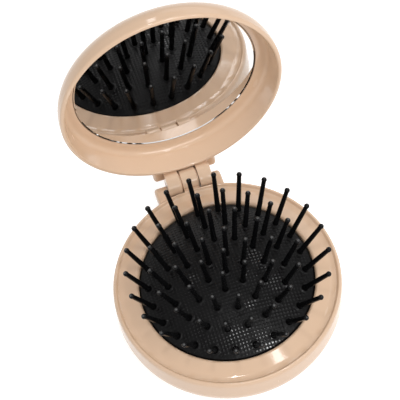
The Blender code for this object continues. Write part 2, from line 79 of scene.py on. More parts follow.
SLAB_SEGMENTS = 3
BLOCK_SEGMENTS = 5
EDGE_SEGMENTS = 2
OVERRUN = 0.002
BAR_SIDES = 96
BORE_SIDES = 48
SHARP = radians(32)
WHITE = (1.0, 1.0, 1.0, 1.0)

Point = tuple[float, float]
Colour = tuple[float, float, float]
Piece = bpy.types.Object
Edge = bmesh.types.BMEdge
Node = bpy.types.Node
Socket = bpy.types.NodeSocket
Inputs = dict[str | int, Any]
Coat = tuple[float, Colour]


class Slot(Enum):
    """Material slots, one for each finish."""

    PLASTIC = "beige_plastic"
    RUBBER = "black_rubber"
    NYLON = "black_nylon"
    MIRROR = "mirror_glass"
    STEEL = "steel"


class Body(Enum):
    """Rigid bodies of the frame that several pieces ride on."""

    BASE = "base"
    LID = "lid"
    PLATE = "plate"


class Cut(Enum):
    """What a Boolean does with its tool."""

    JOIN = "UNION"
    REMOVE = "DIFFERENCE"


# Modelling steps


def deselect_all() -> None:
    """Leave nothing selected, in object mode."""
    if bpy.context.mode != "OBJECT":
        bpy.ops.object.mode_set(mode="OBJECT")
    bpy.ops.object.select_all(action="DESELECT")


def make_active(piece: Piece) -> None:
    """Select one piece alone.

    Args:
        piece: The piece that the next operators act on.
    """
    deselect_all()
    piece.select_set(True)
    bpy.context.view_layer.objects.active = piece


@contextmanager
def editing(piece: Piece) -> Iterator[None]:
    """Hold a piece in edit mode, with all of it selected.

    Args:
        piece: The mesh to edit.

    Yields:
        Nothing; the piece is back in object mode afterwards.
    """
    make_active(piece)
    bpy.ops.object.mode_set(mode="EDIT")
    bpy.ops.mesh.select_mode(type="VERT")
    bpy.ops.mesh.select_all(action="SELECT")
    yield
    bpy.ops.object.mode_set(mode="OBJECT")


def named(name: str) -> Piece:
    """Name the object that an operator has just added.

    Args:
        name: The piece's name.

    Returns:
        The new object.
    """
    piece = bpy.context.active_object
    piece.name = piece.data.name = name
    return piece


def settle(piece: Piece) -> Piece:
    """Put a piece's place, turn and scale into its mesh.

    Args:
        piece: The piece to settle at the origin.

    Returns:
        The same piece.
    """
    make_active(piece)
    bpy.ops.object.transform_apply(location=True, rotation=True, scale=True)
    return piece


def close_shell() -> None:
    """Weld the mesh in edit mode and point its faces outwards."""
    bpy.ops.mesh.select_all(action="SELECT")
    bpy.ops.mesh.remove_doubles(threshold=WELD)
    bpy.ops.mesh.normals_make_consistent(inside=False)


def select_edges(piece: Piece, test: Callable[[Edge], bool]) -> None:
    """Select the edges of the piece in edit mode that pass a test.

    Args:
        piece: The piece in edit mode.
        test: Says whether an edge is wanted.
    """
    bpy.ops.mesh.select_mode(type="EDGE")
    bpy.ops.mesh.select_all(action="DESELECT")
    mesh = bmesh.from_edit_mesh(piece.data)
    for edge in [edge for edge in mesh.edges if test(edge)]:
        edge.select_set(True)
    bmesh.update_edit_mesh(piece.data)


def lies_across(edge: Edge) -> bool:
    """Tell whether an edge lies square to X."""
    return abs(edge.verts[0].co.x - edge.verts[1].co.x) < WELD


def trace(name: str, points: Sequence[Vector]) -> Piece:
    """Draw a chain of edges by extruding one vertex from point to point.

    Args:
        name: The piece's name.
        points: The chain's points in order.

    Returns:
        The wire as an object at the origin.
    """
    deselect_all()
    bpy.ops.mesh.primitive_plane_add(size=OVERRUN)
    piece = named(name)
    with editing(piece):
        bpy.ops.mesh.merge(type="CENTER")
        bpy.ops.transform.translate(value=points[0])
        for here, there in zip(points, points[1:]):
            bpy.ops.mesh.extrude_vertices_move(TRANSFORM_OT_translate={"value": there - here})
    return piece


def turned(name: str, profile: Sequence[Point], steps: int, axis_y: float = 0.0) -> Piece:
    """Spin a profile once round an upright axis.

    Args:
        name: The piece's name.
        profile: Radius and height of each point of the section.
        steps: Facets in the full turn.
        axis_y: Where the axis stands.

    Returns:
        The closed turned piece.
    """
    piece = trace(name, [Vector((radius, axis_y, height)) for radius, height in profile])
    with editing(piece):
        bpy.ops.mesh.spin(steps=steps, angle=2 * pi, center=(0, axis_y, 0), axis=(0, 0, 1))
        close_shell()
    return piece


def slab(name: str, outline: Sequence[Point], low_x: float, high_x: float, soft: float) -> Piece:
    """Extrude an upright outline along X and soften its long edges.

    Args:
        name: The piece's name.
        outline: Y and Z of the outline's points, in order round it.
        low_x: Where the slab starts.
        high_x: Where it ends.
        soft: Width of the rounding on the edges of both faces.

    Returns:
        The closed slab.
    """
    piece = trace(name, [Vector((low_x, y, z)) for y, z in (*outline, outline[0])])
    with editing(piece):
        bpy.ops.mesh.remove_doubles(threshold=WELD)
        bpy.ops.mesh.edge_face_add()
        move = {"value": (high_x - low_x, 0, 0)}
        bpy.ops.mesh.extrude_region_move(TRANSFORM_OT_translate=move)
        close_shell()
        select_edges(piece, lies_across)
        bpy.ops.mesh.bevel(offset=soft, segments=SLAB_SEGMENTS, affect="EDGES")
        close_shell()
    return piece


def block(name: str, low: Sequence[float], high: Sequence[float], soft: float) -> Piece:
    """Model a box with rounded edges.

    Args:
        name: The piece's name.
        low: Its lowest corner.
        high: Its highest corner.
        soft: Radius of the rounding.

    Returns:
        The closed box.
    """
    first, last = Vector(low), Vector(high)
    deselect_all()
    bpy.ops.mesh.primitive_cube_add(size=1, location=(last + first) / 2, scale=last - first)
    piece = settle(named(name))
    with editing(piece):
        bpy.ops.mesh.bevel(offset=soft, segments=BLOCK_SEGMENTS, affect="EDGES")
    return piece


def bar(name: str, radius: float, half_length: float, centre: Vector, sides: int) -> Piece:
    """Model a round bar along X.

    Args:
        name: The piece's name.
        radius: The bar's radius.
        half_length: Half its length.
        centre: The middle of the bar.
        sides: Facets round it.

    Returns:
        The closed bar.
    """
    deselect_all()
    bpy.ops.mesh.primitive_cylinder_add(vertices=sides, radius=radius, depth=2 * half_length,
                                        location=centre, rotation=(0, pi / 2, 0))
    return settle(named(name))


def modify(piece: Piece, kind: str, **settings: Any) -> None:
    """Give a piece a modifier and apply it.

    Args:
        piece: The piece to change.
        kind: The modifier's type.
        **settings: Properties of the modifier.
    """
    modifier = piece.modifiers.new(kind.lower(), kind)
    for key, value in settings.items():
        setattr(modifier, key, value)
    make_active(piece)
    bpy.ops.object.modifier_apply(modifier=modifier.name)


def carve(target: Piece, tool: Piece, cut: Cut) -> None:
    """Join a tool to a piece or cut it away, and delete the tool."""
    modify(target, "BOOLEAN", operation=cut.value, solver="EXACT", object=tool)
    bpy.data.objects.remove(tool)


def mend(piece: Piece) -> Piece:
    """Weld the slivers that joined solids leave and close the pinholes beside them.

    Args:
        piece: The piece after its last join or cut.

    Returns:
        The same piece, closed.
    """
    with editing(piece):
        bpy.ops.mesh.remove_doubles(threshold=SLIVER)
        bpy.ops.mesh.dissolve_degenerate(threshold=SLIVER)
        bpy.ops.mesh.select_all(action="SELECT")
        bpy.ops.mesh.fill_holes(sides=PINHOLE_SIDES)
        bpy.ops.mesh.normals_make_consistent(inside=False)
    return piece


def copied(source: Piece, name: str, placement: Matrix) -> Piece:
    """Copy a modelled piece to a new place, with a mesh of its own.

    Args:
        source: The piece to copy.
        name: The copy's name.
        placement: Where the copy goes.

    Returns:
        The copy, at the origin, with its place in its mesh.
    """
    mesh = source.data.copy()
    mesh.name = name
    mesh.transform(placement)
    piece = bpy.data.objects.new(name, mesh)
    bpy.context.scene.collection.objects.link(piece)
    return piece


def shade(piece: Piece, angle: float = SHARP) -> None:
    """Shade a piece smooth, with its sharp edges kept and its wide faces flat.

    Args:
        piece: The piece to shade.
        angle: The angle from which an edge stays sharp.
    """
    make_active(piece)
    bpy.ops.object.shade_smooth_by_angle(angle=angle)
    modify(piece, "WEIGHTED_NORMAL", keep_sharp=True)


def arc(centre: Point, radii: Point | float, start: float, end: float, steps: int) -> list[Point]:
    """Work out the points of a round or elliptical arc in a section.

    Args:
        centre: Radius and height of the arc's middle.
        radii: Its radius, or its reaches outwards and upwards.
        start: First angle, counted from outwards.
        end: Last angle.
        steps: Stretches between the points.

    Returns:
        Radius and height of each point.
    """
    wide, high = radii if isinstance(radii, tuple) else (radii, radii)
    turns = (start + (end - start) * step / steps for step in range(steps + 1))
    return [(centre[0] + wide * cos(turn), centre[1] + high * sin(turn)) for turn in turns]


def faceted(points: Sequence[Point], centre: Point, turn: float, limit: float) -> list[Point]:
    """Flatten one side of an outline.

    Args:
        points: The outline's points.
        centre: The point from which the flat is counted.
        turn: The direction that the flat faces.
        limit: How far out the flat stands.

    Returns:
        The points, with those past the flat moved back onto it.
    """
    flat: list[Point] = []
    for first, second in points:
        past = (first - centre[0]) * cos(turn) + (second - centre[1]) * sin(turn) - limit
        back = max(past, 0.0)
        flat.append((first - back * cos(turn), second - back * sin(turn)))
    return flat


# Shared sizes


@dataclass(frozen=True)
class Brush:
    """Sizes that several sub-assemblies share, and the places that follow from them."""

    axis_y: float
    body_radius: float = 0.038
    base_height: float = 0.015
    lid_gap: float = 0.0005
    open_angle: float = radians(99.5)
    fit_gap: float = 0.0003
    shell_wall: float = 0.0018
    bezel_span: float = 0.0088
    underside_drop: float = 0.0029
    rubber: float = 0.0012
    dome_radius: float = 0.058
    dome_edge_rise: float = 0.0003
    rings: int = 4
    plate_rings: int = 2
    ring_margin: float = 0.0029
    pins_per_step: int = 6
    ring_phases: tuple[float, ...] = (radians(10), radians(29), radians(12.8), radians(3.1))
    spread: float = radians(8)
    spread_azimuth: float = radians(-20)
    hinge_reach: float = 0.0038
    hinge_drop: float = 0.0006
    hinge_facet: float = radians(115)
    pin_radius: float = 0.0008
    knuckle_radius: float = 0.0044
    knuckle_width: float = 0.0046
    tongue_half_width: float = 0.0029
    turn_steps: int = 192

    @property
    def hinge(self) -> Vector:
        """The middle of the hinge's axis."""
        return Vector((0, self.axis_y + self.body_radius + self.hinge_reach,
                       self.base_height - self.hinge_drop))

    @property
    def lid_crest(self) -> float:
        """Height of the closed lid's rim."""
        return self.base_height + self.lid_gap

    @property
    def inner_radius(self) -> float:
        """Radius of the base shell's inner wall."""
        return self.body_radius - self.shell_wall

    @property
    def opening_radius(self) -> float:
        """Radius of the bezel's opening."""
        return self.body_radius - self.bezel_span

    @property
    def cushion_radius(self) -> float:
        """Radius of the rubber where it stands in the opening."""
        return self.opening_radius - self.fit_gap

    @property
    def flange_top(self) -> float:
        """Height of the rubber flange under the bezel."""
        return self.base_height - self.underside_drop - self.fit_gap

    @property
    def seat_top(self) -> float:
        """Height of the seat that the rubber flange lies on."""
        return self.flange_top - self.rubber - self.fit_gap

    @property
    def dome_centre_z(self) -> float:
        """Height of the middle of the rubber dome's sphere."""
        edge = sqrt(self.dome_radius**2 - self.cushion_radius**2)
        return self.base_height + self.dome_edge_rise - edge

    @property
    def ring_pitch(self) -> float:
        """Distance between neighbouring rings of pins."""
        return (self.cushion_radius - self.ring_margin) / self.rings

    @property
    def knuckle_inner(self) -> float:
        """Where the inner faces of the lid's knuckles stand."""
        return self.tongue_half_width + self.fit_gap

    def dome_height(self, radius: float) -> float:
        """Give the height of the rubber's outer surface at a distance from the axis."""
        return self.dome_centre_z + sqrt(self.dome_radius**2 - radius**2)

    def pin_places(self, ring: int) -> list[Matrix]:
        """Place the pins of one ring, square to the dome.

        Args:
            ring: Which ring, counted outwards; 0 is the middle pin.

        Returns:
            A placement for each pin, its root on the rubber.
        """
        middle = Matrix.Translation((0, self.axis_y, 0))
        radius = ring * self.ring_pitch
        root = Matrix.Translation((radius, 0, self.dome_height(radius)))
        if ring == 0:
            return [middle @ root]
        count = ring * self.pins_per_step
        places: list[Matrix] = []
        for index in range(count):
            turn = self.ring_phases[ring - 1] + 2 * pi * index / count
            lean = asin(radius / self.dome_radius)
            if ring == self.rings:
                lean += self.spread * max(0.0, cos(turn - self.spread_azimuth)) ** 2
            outwards = middle @ Matrix.Rotation(turn, 4, "Z")
            places.append(outwards @ root @ Matrix.Rotation(lean, 4, "Y"))
        return places

    def opened(self, piece: Piece) -> None:
        """Swing a piece of the closed lid about the hinge to where it stands.

        Args:
            piece: The piece, modelled as on the closed lid.
        """
        swing = Matrix.Rotation(-self.open_angle, 4, "X")
        away, back = Matrix.Translation(self.hinge), Matrix.Translation(-self.hinge)
        piece.matrix_world = away @ swing @ back
        settle(piece)


# Finishes


class Board:
    """Nodes of one material or node group, added and wired by name."""

    def __init__(self, tree: bpy.types.NodeTree) -> None:
        """Take a node tree and empty it."""
        self.tree = tree
        tree.nodes.clear()

    def add(self, kind: str, inputs: Inputs | None = None, **settings: Any) -> Node:
        """Add a node.

        Args:
            kind: The node's type name, without its common first part.
            inputs: Values or sockets for its inputs, by name or number.
            **settings: Properties of the node.

        Returns:
            The new node.
        """
        node = self.tree.nodes.new(f"ShaderNode{kind}")
        for key, value in settings.items():
            setattr(node, key, value)
        for key, value in (inputs or {}).items():
            if isinstance(value, Socket):
                self.tree.links.new(value, node.inputs[key])
            else:
                node.inputs[key].default_value = value
        return node

    def calc(self, operation: str, first: Any, second: Any) -> Socket:
        """Add a Math node and give its output."""
        return self.add("Math", {0: first, 1: second}, operation=operation).outputs[0]

    def ramp(self, value: Socket, low: float, high: float, start: float = 0.0,
             end: float = 1.0) -> Socket:
        """Map a value from low and high to start and end, and hold it at both."""
        inputs = dict(zip(range(5), (value, low, high, start, end)))
        return self.add("MapRange", inputs).outputs[0]

    def noise(self, place: Socket, scale: Any, detail: float, **more: float) -> Socket:
        """Add a noise pattern and give its value."""
        inputs = {"Vector": place, "Scale": scale, "Detail": detail, **more}
        return self.add("TexNoise", inputs).outputs[0]

    def away(self, place: Socket, point: Sequence[float]) -> Socket:
        """Give the distance of a place from a point."""
        node = self.add("VectorMath", {0: place, 1: point}, operation="DISTANCE")
        return node.outputs["Value"]

    def effect(self, name: str, place: Socket, *amounts: float) -> Any:
        """Place an effect's node group and give its outputs, by name."""
        inputs = dict(enumerate((place, *amounts)))
        return self.add("Group", inputs, node_tree=bpy.data.node_groups[name]).outputs

    def added(self, ground: Socket, *parts: tuple[Socket, float]) -> Socket:
        """Add masks to a value.

        Args:
            ground: The value that the masks are added to.
            *parts: Each mask with its strength.

        Returns:
            The sum.
        """
        for mask, strength in parts:
            ground = self.calc("ADD", ground, self.calc("MULTIPLY", mask, strength))
        return ground

    def tinted(self, colour: Colour, *coats: tuple[Socket, float, Colour]) -> Socket:
        """Lay thin coats of colour over a ground.

        Args:
            colour: The ground.
            *coats: Mask, strength and colour of each coat, the lowest first.

        Returns:
            The mixed colour.
        """
        ground: Any = (*colour, 1.0)
        for mask, strength, coat in coats:
            inputs = {0: self.calc("MULTIPLY", mask, strength), 6: ground, 7: (*coat, 1.0)}
            ground = self.add("Mix", inputs, data_type="RGBA").outputs[2]
        return ground

    def bump(self, height: Socket, depth: float) -> Socket:
        """Turn a relief into a normal; a height of 1 measures the depth."""
        inputs = {"Height": height, "Distance": depth, "Strength": 1.0}
        return self.add("Bump", inputs).outputs[0]

    def seen(self) -> Socket:
        """Make the mask of what the camera, a glossy surface and glass see.

        Returns:
            The mask, 1 for them.
        """
        path = self.add("LightPath").outputs
        seen = self.calc("MAXIMUM", path["Is Camera Ray"], path["Is Glossy Ray"])
        return self.calc("MAXIMUM", seen, path["Is Transmission Ray"])


class Effect:
    """A shader node group that several finishes share."""

    name: str
    amounts: dict[str, float]

    def draw(self, board: Board, given: Any) -> dict[str, Socket]:
        """Draw the effect.

        Args:
            board: The group's board.
            given: The group's Vector and amounts, by name.

        Returns:
            What the group puts out, by name.
        """
        raise NotImplementedError

    def build(self) -> None:
        """Make the group with its sockets, and draw the effect in it."""
        tree = bpy.data.node_groups.new(self.name, "ShaderNodeTree")
        tree.interface.new_socket(name="Vector", in_out="INPUT", socket_type="NodeSocketVector")
        for title, value in self.amounts.items():
            socket = tree.interface.new_socket(name=title, in_out="INPUT",
                                               socket_type="NodeSocketFloat")
            socket.default_value = value
        board = Board(tree)
        drawn = self.draw(board, tree.nodes.new("NodeGroupInput").outputs)
        for title in drawn:
            tree.interface.new_socket(name=title, in_out="OUTPUT", socket_type="NodeSocketFloat")
        leave = tree.nodes.new("NodeGroupOutput")
        for title, value in drawn.items():
            tree.links.new(value, leave.inputs[title])


class Grain(Effect):
    """Moulding grain: a fine orange peel over slow waves, and wide patches of sheen."""

    name = "moulding_grain"
    amounts = {"Size": 0.0005, "Sway": 0.3}
    slow_waves = 14.0
    wide_patches = 40.0
    patch_band = (0.35, 0.65)

    def draw(self, board: Board, given: Any) -> dict[str, Socket]:
        """Draw the grain.

        Args:
            board: The group's board.
            given: The group's Vector and amounts, by name.

        Returns:
            The relief's height and the patches.
        """
        place, scale = given["Vector"], board.calc("DIVIDE", 1.0, given["Size"])
        peel = board.noise(place, scale, detail=3.0, Roughness=0.55)
        slow = board.noise(place, board.calc("DIVIDE", scale, self.slow_waves), 1.0)
        patches = board.noise(place, board.calc("DIVIDE", scale, self.wide_patches), 2.0)
        height = board.calc("ADD", peel, board.calc("MULTIPLY", slow, given["Sway"]))
        return {"Height": height, "Patches": board.ramp(patches, *self.patch_band)}


class Marks(Effect):
    """Handling marks: sparse hairlines in three directions, broken up into patches."""

    name = "handling_marks"
    amounts = {"Spread": 0.5}
    directions = ((0.5, 6.0), (-0.9, 9.0), (2.2, 5.0))
    fineness = 1100.0
    length_scale = 60.0
    line_band = (0.745, 0.79)
    waver = 0.6
    patch_scale = 90.0

    def draw(self, board: Board, given: Any) -> dict[str, Socket]:
        """Draw the hairlines.

        Args:
            board: The group's board.
            given: The group's Vector and amounts, by name.

        Returns:
            Their mask.
        """
        place = given["Vector"]
        strongest: Any = 0.0
        for turn, stretch in self.directions:
            scale = (self.fineness, self.fineness / stretch, self.length_scale)
            placed = board.add("Mapping", {"Vector": place, "Rotation": (turn, -turn, turn),
                                           "Scale": scale}).outputs[0]
            line = board.noise(placed, 1.0, detail=1.0, Distortion=self.waver)
            line = board.ramp(line, *self.line_band)
            strongest = board.calc("MAXIMUM", line, strongest)
        level = board.calc("SUBTRACT", 1.0, given["Spread"])
        patch = board.noise(place, self.patch_scale, detail=2.0)
        patch = board.calc("GREATER_THAN", patch, level)
        return {"Mask": board.calc("MULTIPLY", strongest, patch)}


class WearAndCreaseShade(Effect):
    """Edge wear and painted shade: masks of rubbed edges, broken up by noise, and of the creases.
    """

    name = "edge_wear_and_crease_shade"
    amounts = {"Reach": 0.03}
    edge = 0.515
    # Pointiness under this level darkens the creases: painted shade.
    crease_shade = 0.485
    noise_scale = 700.0
    noise_band = (0.3, 0.7, -0.008, 0.008)

    def draw(self, board: Board, given: Any) -> dict[str, Socket]:
        """Draw both masks.

        Args:
            board: The group's board.
            given: The group's Vector and amounts, by name.

        Returns:
            The mask of the rubbed edges and that of the creases, where shade is painted.
        """
        point = board.add("NewGeometry").outputs["Pointiness"]
        noise = board.noise(given["Vector"], self.noise_scale, detail=3.0)
        rough = board.calc("ADD", point, board.ramp(noise, *self.noise_band))
        masks: dict[str, Socket] = {}
        for title, high, low in (("Worn", rough, self.edge), ("CreaseShade", self.crease_shade, rough)):
            past = board.calc("DIVIDE", board.calc("SUBTRACT", high, low), given["Reach"])
            masks[title] = board.ramp(past, 0.0, 1.0)
        return masks


class Dust(Effect):
    """Settled dust: fine specks on what faces up."""

    name = "settled_dust"
    amounts = {"Amount": 0.3}
    speck_scale = 1500.0
    drift_scale = 160.0
    drift_band = (0.45, 0.75)
    slope_band = (0.2, 0.8)

    def draw(self, board: Board, given: Any) -> dict[str, Socket]:
        """Draw the specks.

        Args:
            board: The group's board.
            given: The group's Vector and amounts, by name.

        Returns:
            Their mask.
        """
        place = given["Vector"]
        up = board.add("SeparateXYZ", {0: board.add("NewGeometry").outputs["Normal"]})
        specks = board.add("TexVoronoi", {"Vector": place, "Scale": self.speck_scale})
        drift = board.noise(place, self.drift_scale, detail=3.0)
        size = board.calc("MULTIPLY", board.ramp(drift, *self.drift_band), given["Amount"])
        speck = board.calc("LESS_THAN", specks.outputs["Distance"], size)
        upper = board.ramp(up.outputs["Z"], *self.slope_band)
        return {"Mask": board.calc("MULTIPLY", speck, upper)}


@dataclass(frozen=True)
class Finish:
    """What all finishes share: a name, a slot, a colour and a gloss.

    Each further coat of colour is its strength and its colour.
    """

    name: str
    slot: Slot
    colour: Colour
    roughness: float
    metallic: float = 0.0
    specular: float = 0.5
    gloss_band: Point = (0.0, 0.0)

    def paint(self, board: Board, place: Socket) -> Inputs:
        """Draw the finish.

        Args:
            board: The material's board.
            place: The Object coordinates.

        Returns:
            What feeds the shader, by the name of its input.
        """
        raise NotImplementedError

    def build(self) -> bpy.types.Material:
        """Make the material, a Principled shader that the finish's own nodes feed.

        Returns:
            The material.
        """
        material = bpy.data.materials.new(self.name)
        material.use_nodes = True
        board = Board(material.node_tree)
        plain = {"Metallic": self.metallic, "Specular IOR Level": self.specular}
        drawn = self.paint(board, board.add("TexCoord").outputs["Object"])
        shader = board.add("BsdfPrincipled", {**plain, **drawn})
        board.add("OutputMaterial", {"Surface": shader.outputs[0]})
        return material

    def gloss(self, board: Board, pattern: Socket) -> Socket:
        """Vary the roughness over a pattern, by the finish's band."""
        low, high = (self.roughness + change for change in self.gloss_band)
        return board.ramp(pattern, 0.0, 1.0, low, high)


@dataclass(frozen=True)
class MouldedPlastic(Finish):
    """Satin moulded plastic with orange peel, hairlines, edges rubbed by a pocket and painted
    shade in its creases.
    """

    deep: Coat = (0.25, (0.66, 0.46, 0.31))
    worn: Coat = (0.35, (0.80, 0.62, 0.47))
    # Painted shade: a darker, warmer beige laid into the creases where shade falls.
    crease_shade: Coat = (0.4, (0.42, 0.25, 0.15))
    dust: Coat = (0.25, (0.8, 0.76, 0.7))
    gloss_band: Point = (-0.01, 0.03)
    grain_size: float = 0.0007
    grain_depth: float = 0.000006
    marks_spread: float = 0.42
    marks_roughness: float = 0.22
    marks_height: float = -0.8
    wear_reach: float = 0.05
    wear_roughness: float = -0.03
    dust_amount: float = 0.16

    def paint(self, board: Board, place: Socket) -> Inputs:
        """Draw the plastic.

        Args:
            board: The material's board.
            place: The Object coordinates.

        Returns:
            What feeds the shader.
        """
        grain = board.effect(Grain.name, place, self.grain_size)
        marks = board.effect(Marks.name, place, self.marks_spread)["Mask"]
        wear_and_shade = board.effect(WearAndCreaseShade.name, place, self.wear_reach)
        dust = board.effect(Dust.name, place, self.dust_amount)["Mask"]
        patches, worn = grain["Patches"], wear_and_shade["Worn"]
        # The crease coat paints shade into the creases; the other coats are the plastic's own
        # tone, wear and dust.
        tint = board.tinted(self.colour, (patches, *self.deep), (worn, *self.worn),
                            (wear_and_shade["CreaseShade"], *self.crease_shade), (dust, *self.dust))
        gloss = board.added(self.gloss(board, patches), (marks, self.marks_roughness),
                            (worn, self.wear_roughness))
        relief = board.added(grain["Height"], (marks, self.marks_height))
        return {"Base Color": tint, "Roughness": gloss,
                "Normal": board.bump(relief, self.grain_depth)}


@dataclass(frozen=True)
class EmbossedRubber(Finish):
    """Black rubber with a soft skin; its raised dots are in the mesh, their tops polished.

    Each rubbed spot is its place across and back from the base's axis, and its radius.
    """

    bloom: Coat = (0.3, (0.007, 0.007, 0.0075))
    worn: Coat = (0.15, (0.007, 0.007, 0.0075))
    dust: Coat = (0.3, (0.10, 0.10, 0.09))
    gloss_band: Point = (-0.04, 0.06)
    wear_reach: float = 0.08
    dust_amount: float = 0.22
    grain_size: float = 0.00016
    grain_sway: float = 0.6
    grain_depth: float = 0.000010
    dot_pitch: float = 0.00116
    axis_y: float = 0.0
    top_gloss: float = 0.17
    top_ior: float = 1.9
    top_band: Point = (0.40, 0.70)
    plain_shine: float = 0.05
    shine_scale: float = 420.0
    shine_band: tuple[float, float, float, float] = (0.38, 0.56, 0.15, 1.0)
    core_share: float = 0.45
    rubbed: tuple[tuple[float, float, float], ...] = (
        (-0.0035, -0.0224, 0.0050), (0.0004, -0.0249, 0.0055), (0.0055, -0.0262, 0.0055),
        (0.0100, 0.0039, 0.0032), (0.0115, 0.0011, 0.0034), (0.0130, -0.0016, 0.0032),
        (0.0071, -0.0039, 0.0026), (0.0147, -0.0087, 0.0036), (-0.0114, 0.0012, 0.0026),
        (0.0041, -0.0135, 0.0024),
    )

    def polish(self, board: Board, place: Socket) -> Socket:
        """Make the mask of the dots' tops, brightest where hair has rubbed them.

        Args:
            board: The material's board.
            place: The Object coordinates.

        Returns:
            The mask, 1 on a rubbed dot.
        """
        parts = board.add("SeparateXYZ", {0: place})
        spots: list[Socket] = []
        waves: list[Socket] = []
        for axis, shift in (("X", 0.0), ("Y", self.axis_y)):
            spots.append(board.calc("SUBTRACT", parts.outputs[axis], shift))
            turn = board.calc("MULTIPLY", spots[-1], 2 * pi / self.dot_pitch)
            waves.append(board.ramp(board.calc("COSINE", turn, 0.0), -1.0, 1.0))
        dots = board.ramp(board.calc("MULTIPLY", waves[0], waves[1]), *self.top_band)
        flat = board.add("CombineXYZ", {"X": spots[0], "Y": spots[1]}).outputs[0]
        shine: Any = 0.0
        for x, y, radius in self.rubbed:
            away = board.away(flat, (x, y, 0.0))
            near = board.ramp(away, radius * self.core_share, radius, 1.0, 0.0)
            shine = board.calc("MAXIMUM", near, shine)
        uneven = board.noise(place, self.shine_scale, detail=1.0)
        uneven = board.ramp(uneven, *self.shine_band)
        shine = board.ramp(board.calc("MULTIPLY", shine, uneven), 0.0, 1.0, self.plain_shine, 1.0)
        return board.calc("MULTIPLY", dots, shine)

    def paint(self, board: Board, place: Socket) -> Inputs:
        """Draw the rubber.

        Args:
            board: The material's board.
            place: The Object coordinates.

        Returns:
            What feeds the shader.
        """
        grain = board.effect(Grain.name, place, self.grain_size, self.grain_sway)
        dust = board.effect(Dust.name, place, self.dust_amount)["Mask"]
        worn = board.effect(WearAndCreaseShade.name, place, self.wear_reach)["Worn"]
        patches = grain["Patches"]
        tint = board.tinted(self.colour, (patches, *self.bloom), (worn, *self.worn),
                            (dust, *self.dust))
        return {"Base Color": tint, "Roughness": self.gloss(board, patches),
                "Coat Weight": self.polish(board, place), "Coat Roughness": self.top_gloss,
                "Coat IOR": self.top_ior,
                "Normal": board.bump(grain["Height"], self.grain_depth)}


@dataclass(frozen=True)
class PinNylon(Finish):
    """Black nylon of the pins and the push plate, streaked by its mould, with a highlight painted
    on each tip.
    """

    streaks: Coat = (0.4, (0.007, 0.007, 0.0075))
    dust: Coat = (0.3, (0.08, 0.08, 0.075))
    # Painted highlight: a light grey spot on the top of each ball tip.
    tip: Coat = (1.0, (0.09, 0.09, 0.09))
    gloss_band: Point = (-0.03, 0.05)
    marks_spread: float = 0.5
    marks_roughness: float = 0.08
    dust_amount: float = 0.07
    dome_centre: tuple[float, float, float] = (0.0, 0.0, 0.0)
    tip_reach: float = 0.0
    tip_highlight_band: Point = (0.00015, 0.00003)
    grain_size: float = 0.00025
    grain_depth: float = 0.000005

    def paint(self, board: Board, place: Socket) -> Inputs:
        """Draw the nylon.

        Args:
            board: The material's board.
            place: The Object coordinates.

        Returns:
            What feeds the shader.
        """
        grain = board.effect(Grain.name, place, self.grain_size)
        marks = board.effect(Marks.name, place, self.marks_spread)["Mask"]
        dust = board.effect(Dust.name, place, self.dust_amount)["Mask"]
        # Mask of the painted tip highlight: the points farthest from the dome's middle, at each
        # tip's top.
        tip = board.ramp(board.away(place, self.dome_centre), self.tip_reach - self.tip_highlight_band[0],
                         self.tip_reach - self.tip_highlight_band[1])
        patches = grain["Patches"]
        tint = board.tinted(self.colour, (patches, *self.streaks), (dust, *self.dust),
                            (tip, *self.tip))
        gloss = board.added(self.gloss(board, patches), (marks, self.marks_roughness))
        return {"Base Color": tint, "Roughness": gloss,
                "Normal": board.bump(grain["Height"], self.grain_depth)}


@dataclass(frozen=True)
class SilveredGlass(Finish):
    """Mirror glass with faint smears and specks of dust."""

    dust: Coat = (0.3, (0.6, 0.58, 0.55))
    gloss_band: Point = (0.0, 0.03)
    smear_size: float = 0.0012
    smear_sway: float = 0.8
    smear_band: Point = (0.4, 1.0)
    marks_spread: float = 0.36
    marks_roughness: float = 0.05
    dust_amount: float = 0.10
    dust_roughness: float = 0.3

    def paint(self, board: Board, place: Socket) -> Inputs:
        """Draw the glass.

        Args:
            board: The material's board.
            place: The Object coordinates.

        Returns:
            What feeds the shader.
        """
        smear = board.effect(Grain.name, place, self.smear_size, self.smear_sway)["Patches"]
        marks = board.effect(Marks.name, place, self.marks_spread)["Mask"]
        dust = board.effect(Dust.name, place, self.dust_amount)["Mask"]
        haze = self.gloss(board, board.ramp(smear, *self.smear_band))
        gloss = board.added(haze, (marks, self.marks_roughness), (dust, self.dust_roughness))
        return {"Base Color": board.tinted(self.colour, (dust, *self.dust)),
                "Roughness": gloss}


@dataclass(frozen=True)
class DrawnSteel(Finish):
    """Drawn steel wire: fine rings and scratches along X."""

    dull: Coat = (0.5, (0.30, 0.29, 0.29))
    gloss_band: Point = (-0.08, 0.08)
    grain_size: float = 0.0003
    marks_spread: float = 0.6
    marks_roughness: float = 0.15
    line_band: Point = (0.3, 0.7)
    line_scale: tuple[float, float, float] = (300.0, 9000.0, 9000.0)
    line_depth: float = 0.000003

    def paint(self, board: Board, place: Socket) -> Inputs:
        """Draw the steel.

        Args:
            board: The material's board.
            place: The Object coordinates.

        Returns:
            What feeds the shader.
        """
        patches = board.effect(Grain.name, place, self.grain_size)["Patches"]
        marks = board.effect(Marks.name, place, self.marks_spread)["Mask"]
        drawn = board.add("Mapping", {"Vector": place, "Scale": self.line_scale}).outputs[0]
        lines = board.noise(drawn, 1.0, detail=2.0)
        gloss = self.gloss(board, board.ramp(lines, *self.line_band))
        return {"Base Color": board.tinted(self.colour, (patches, *self.dull)),
                "Roughness": board.added(gloss, (marks, self.marks_roughness)),
                "Normal": board.bump(lines, self.line_depth)}


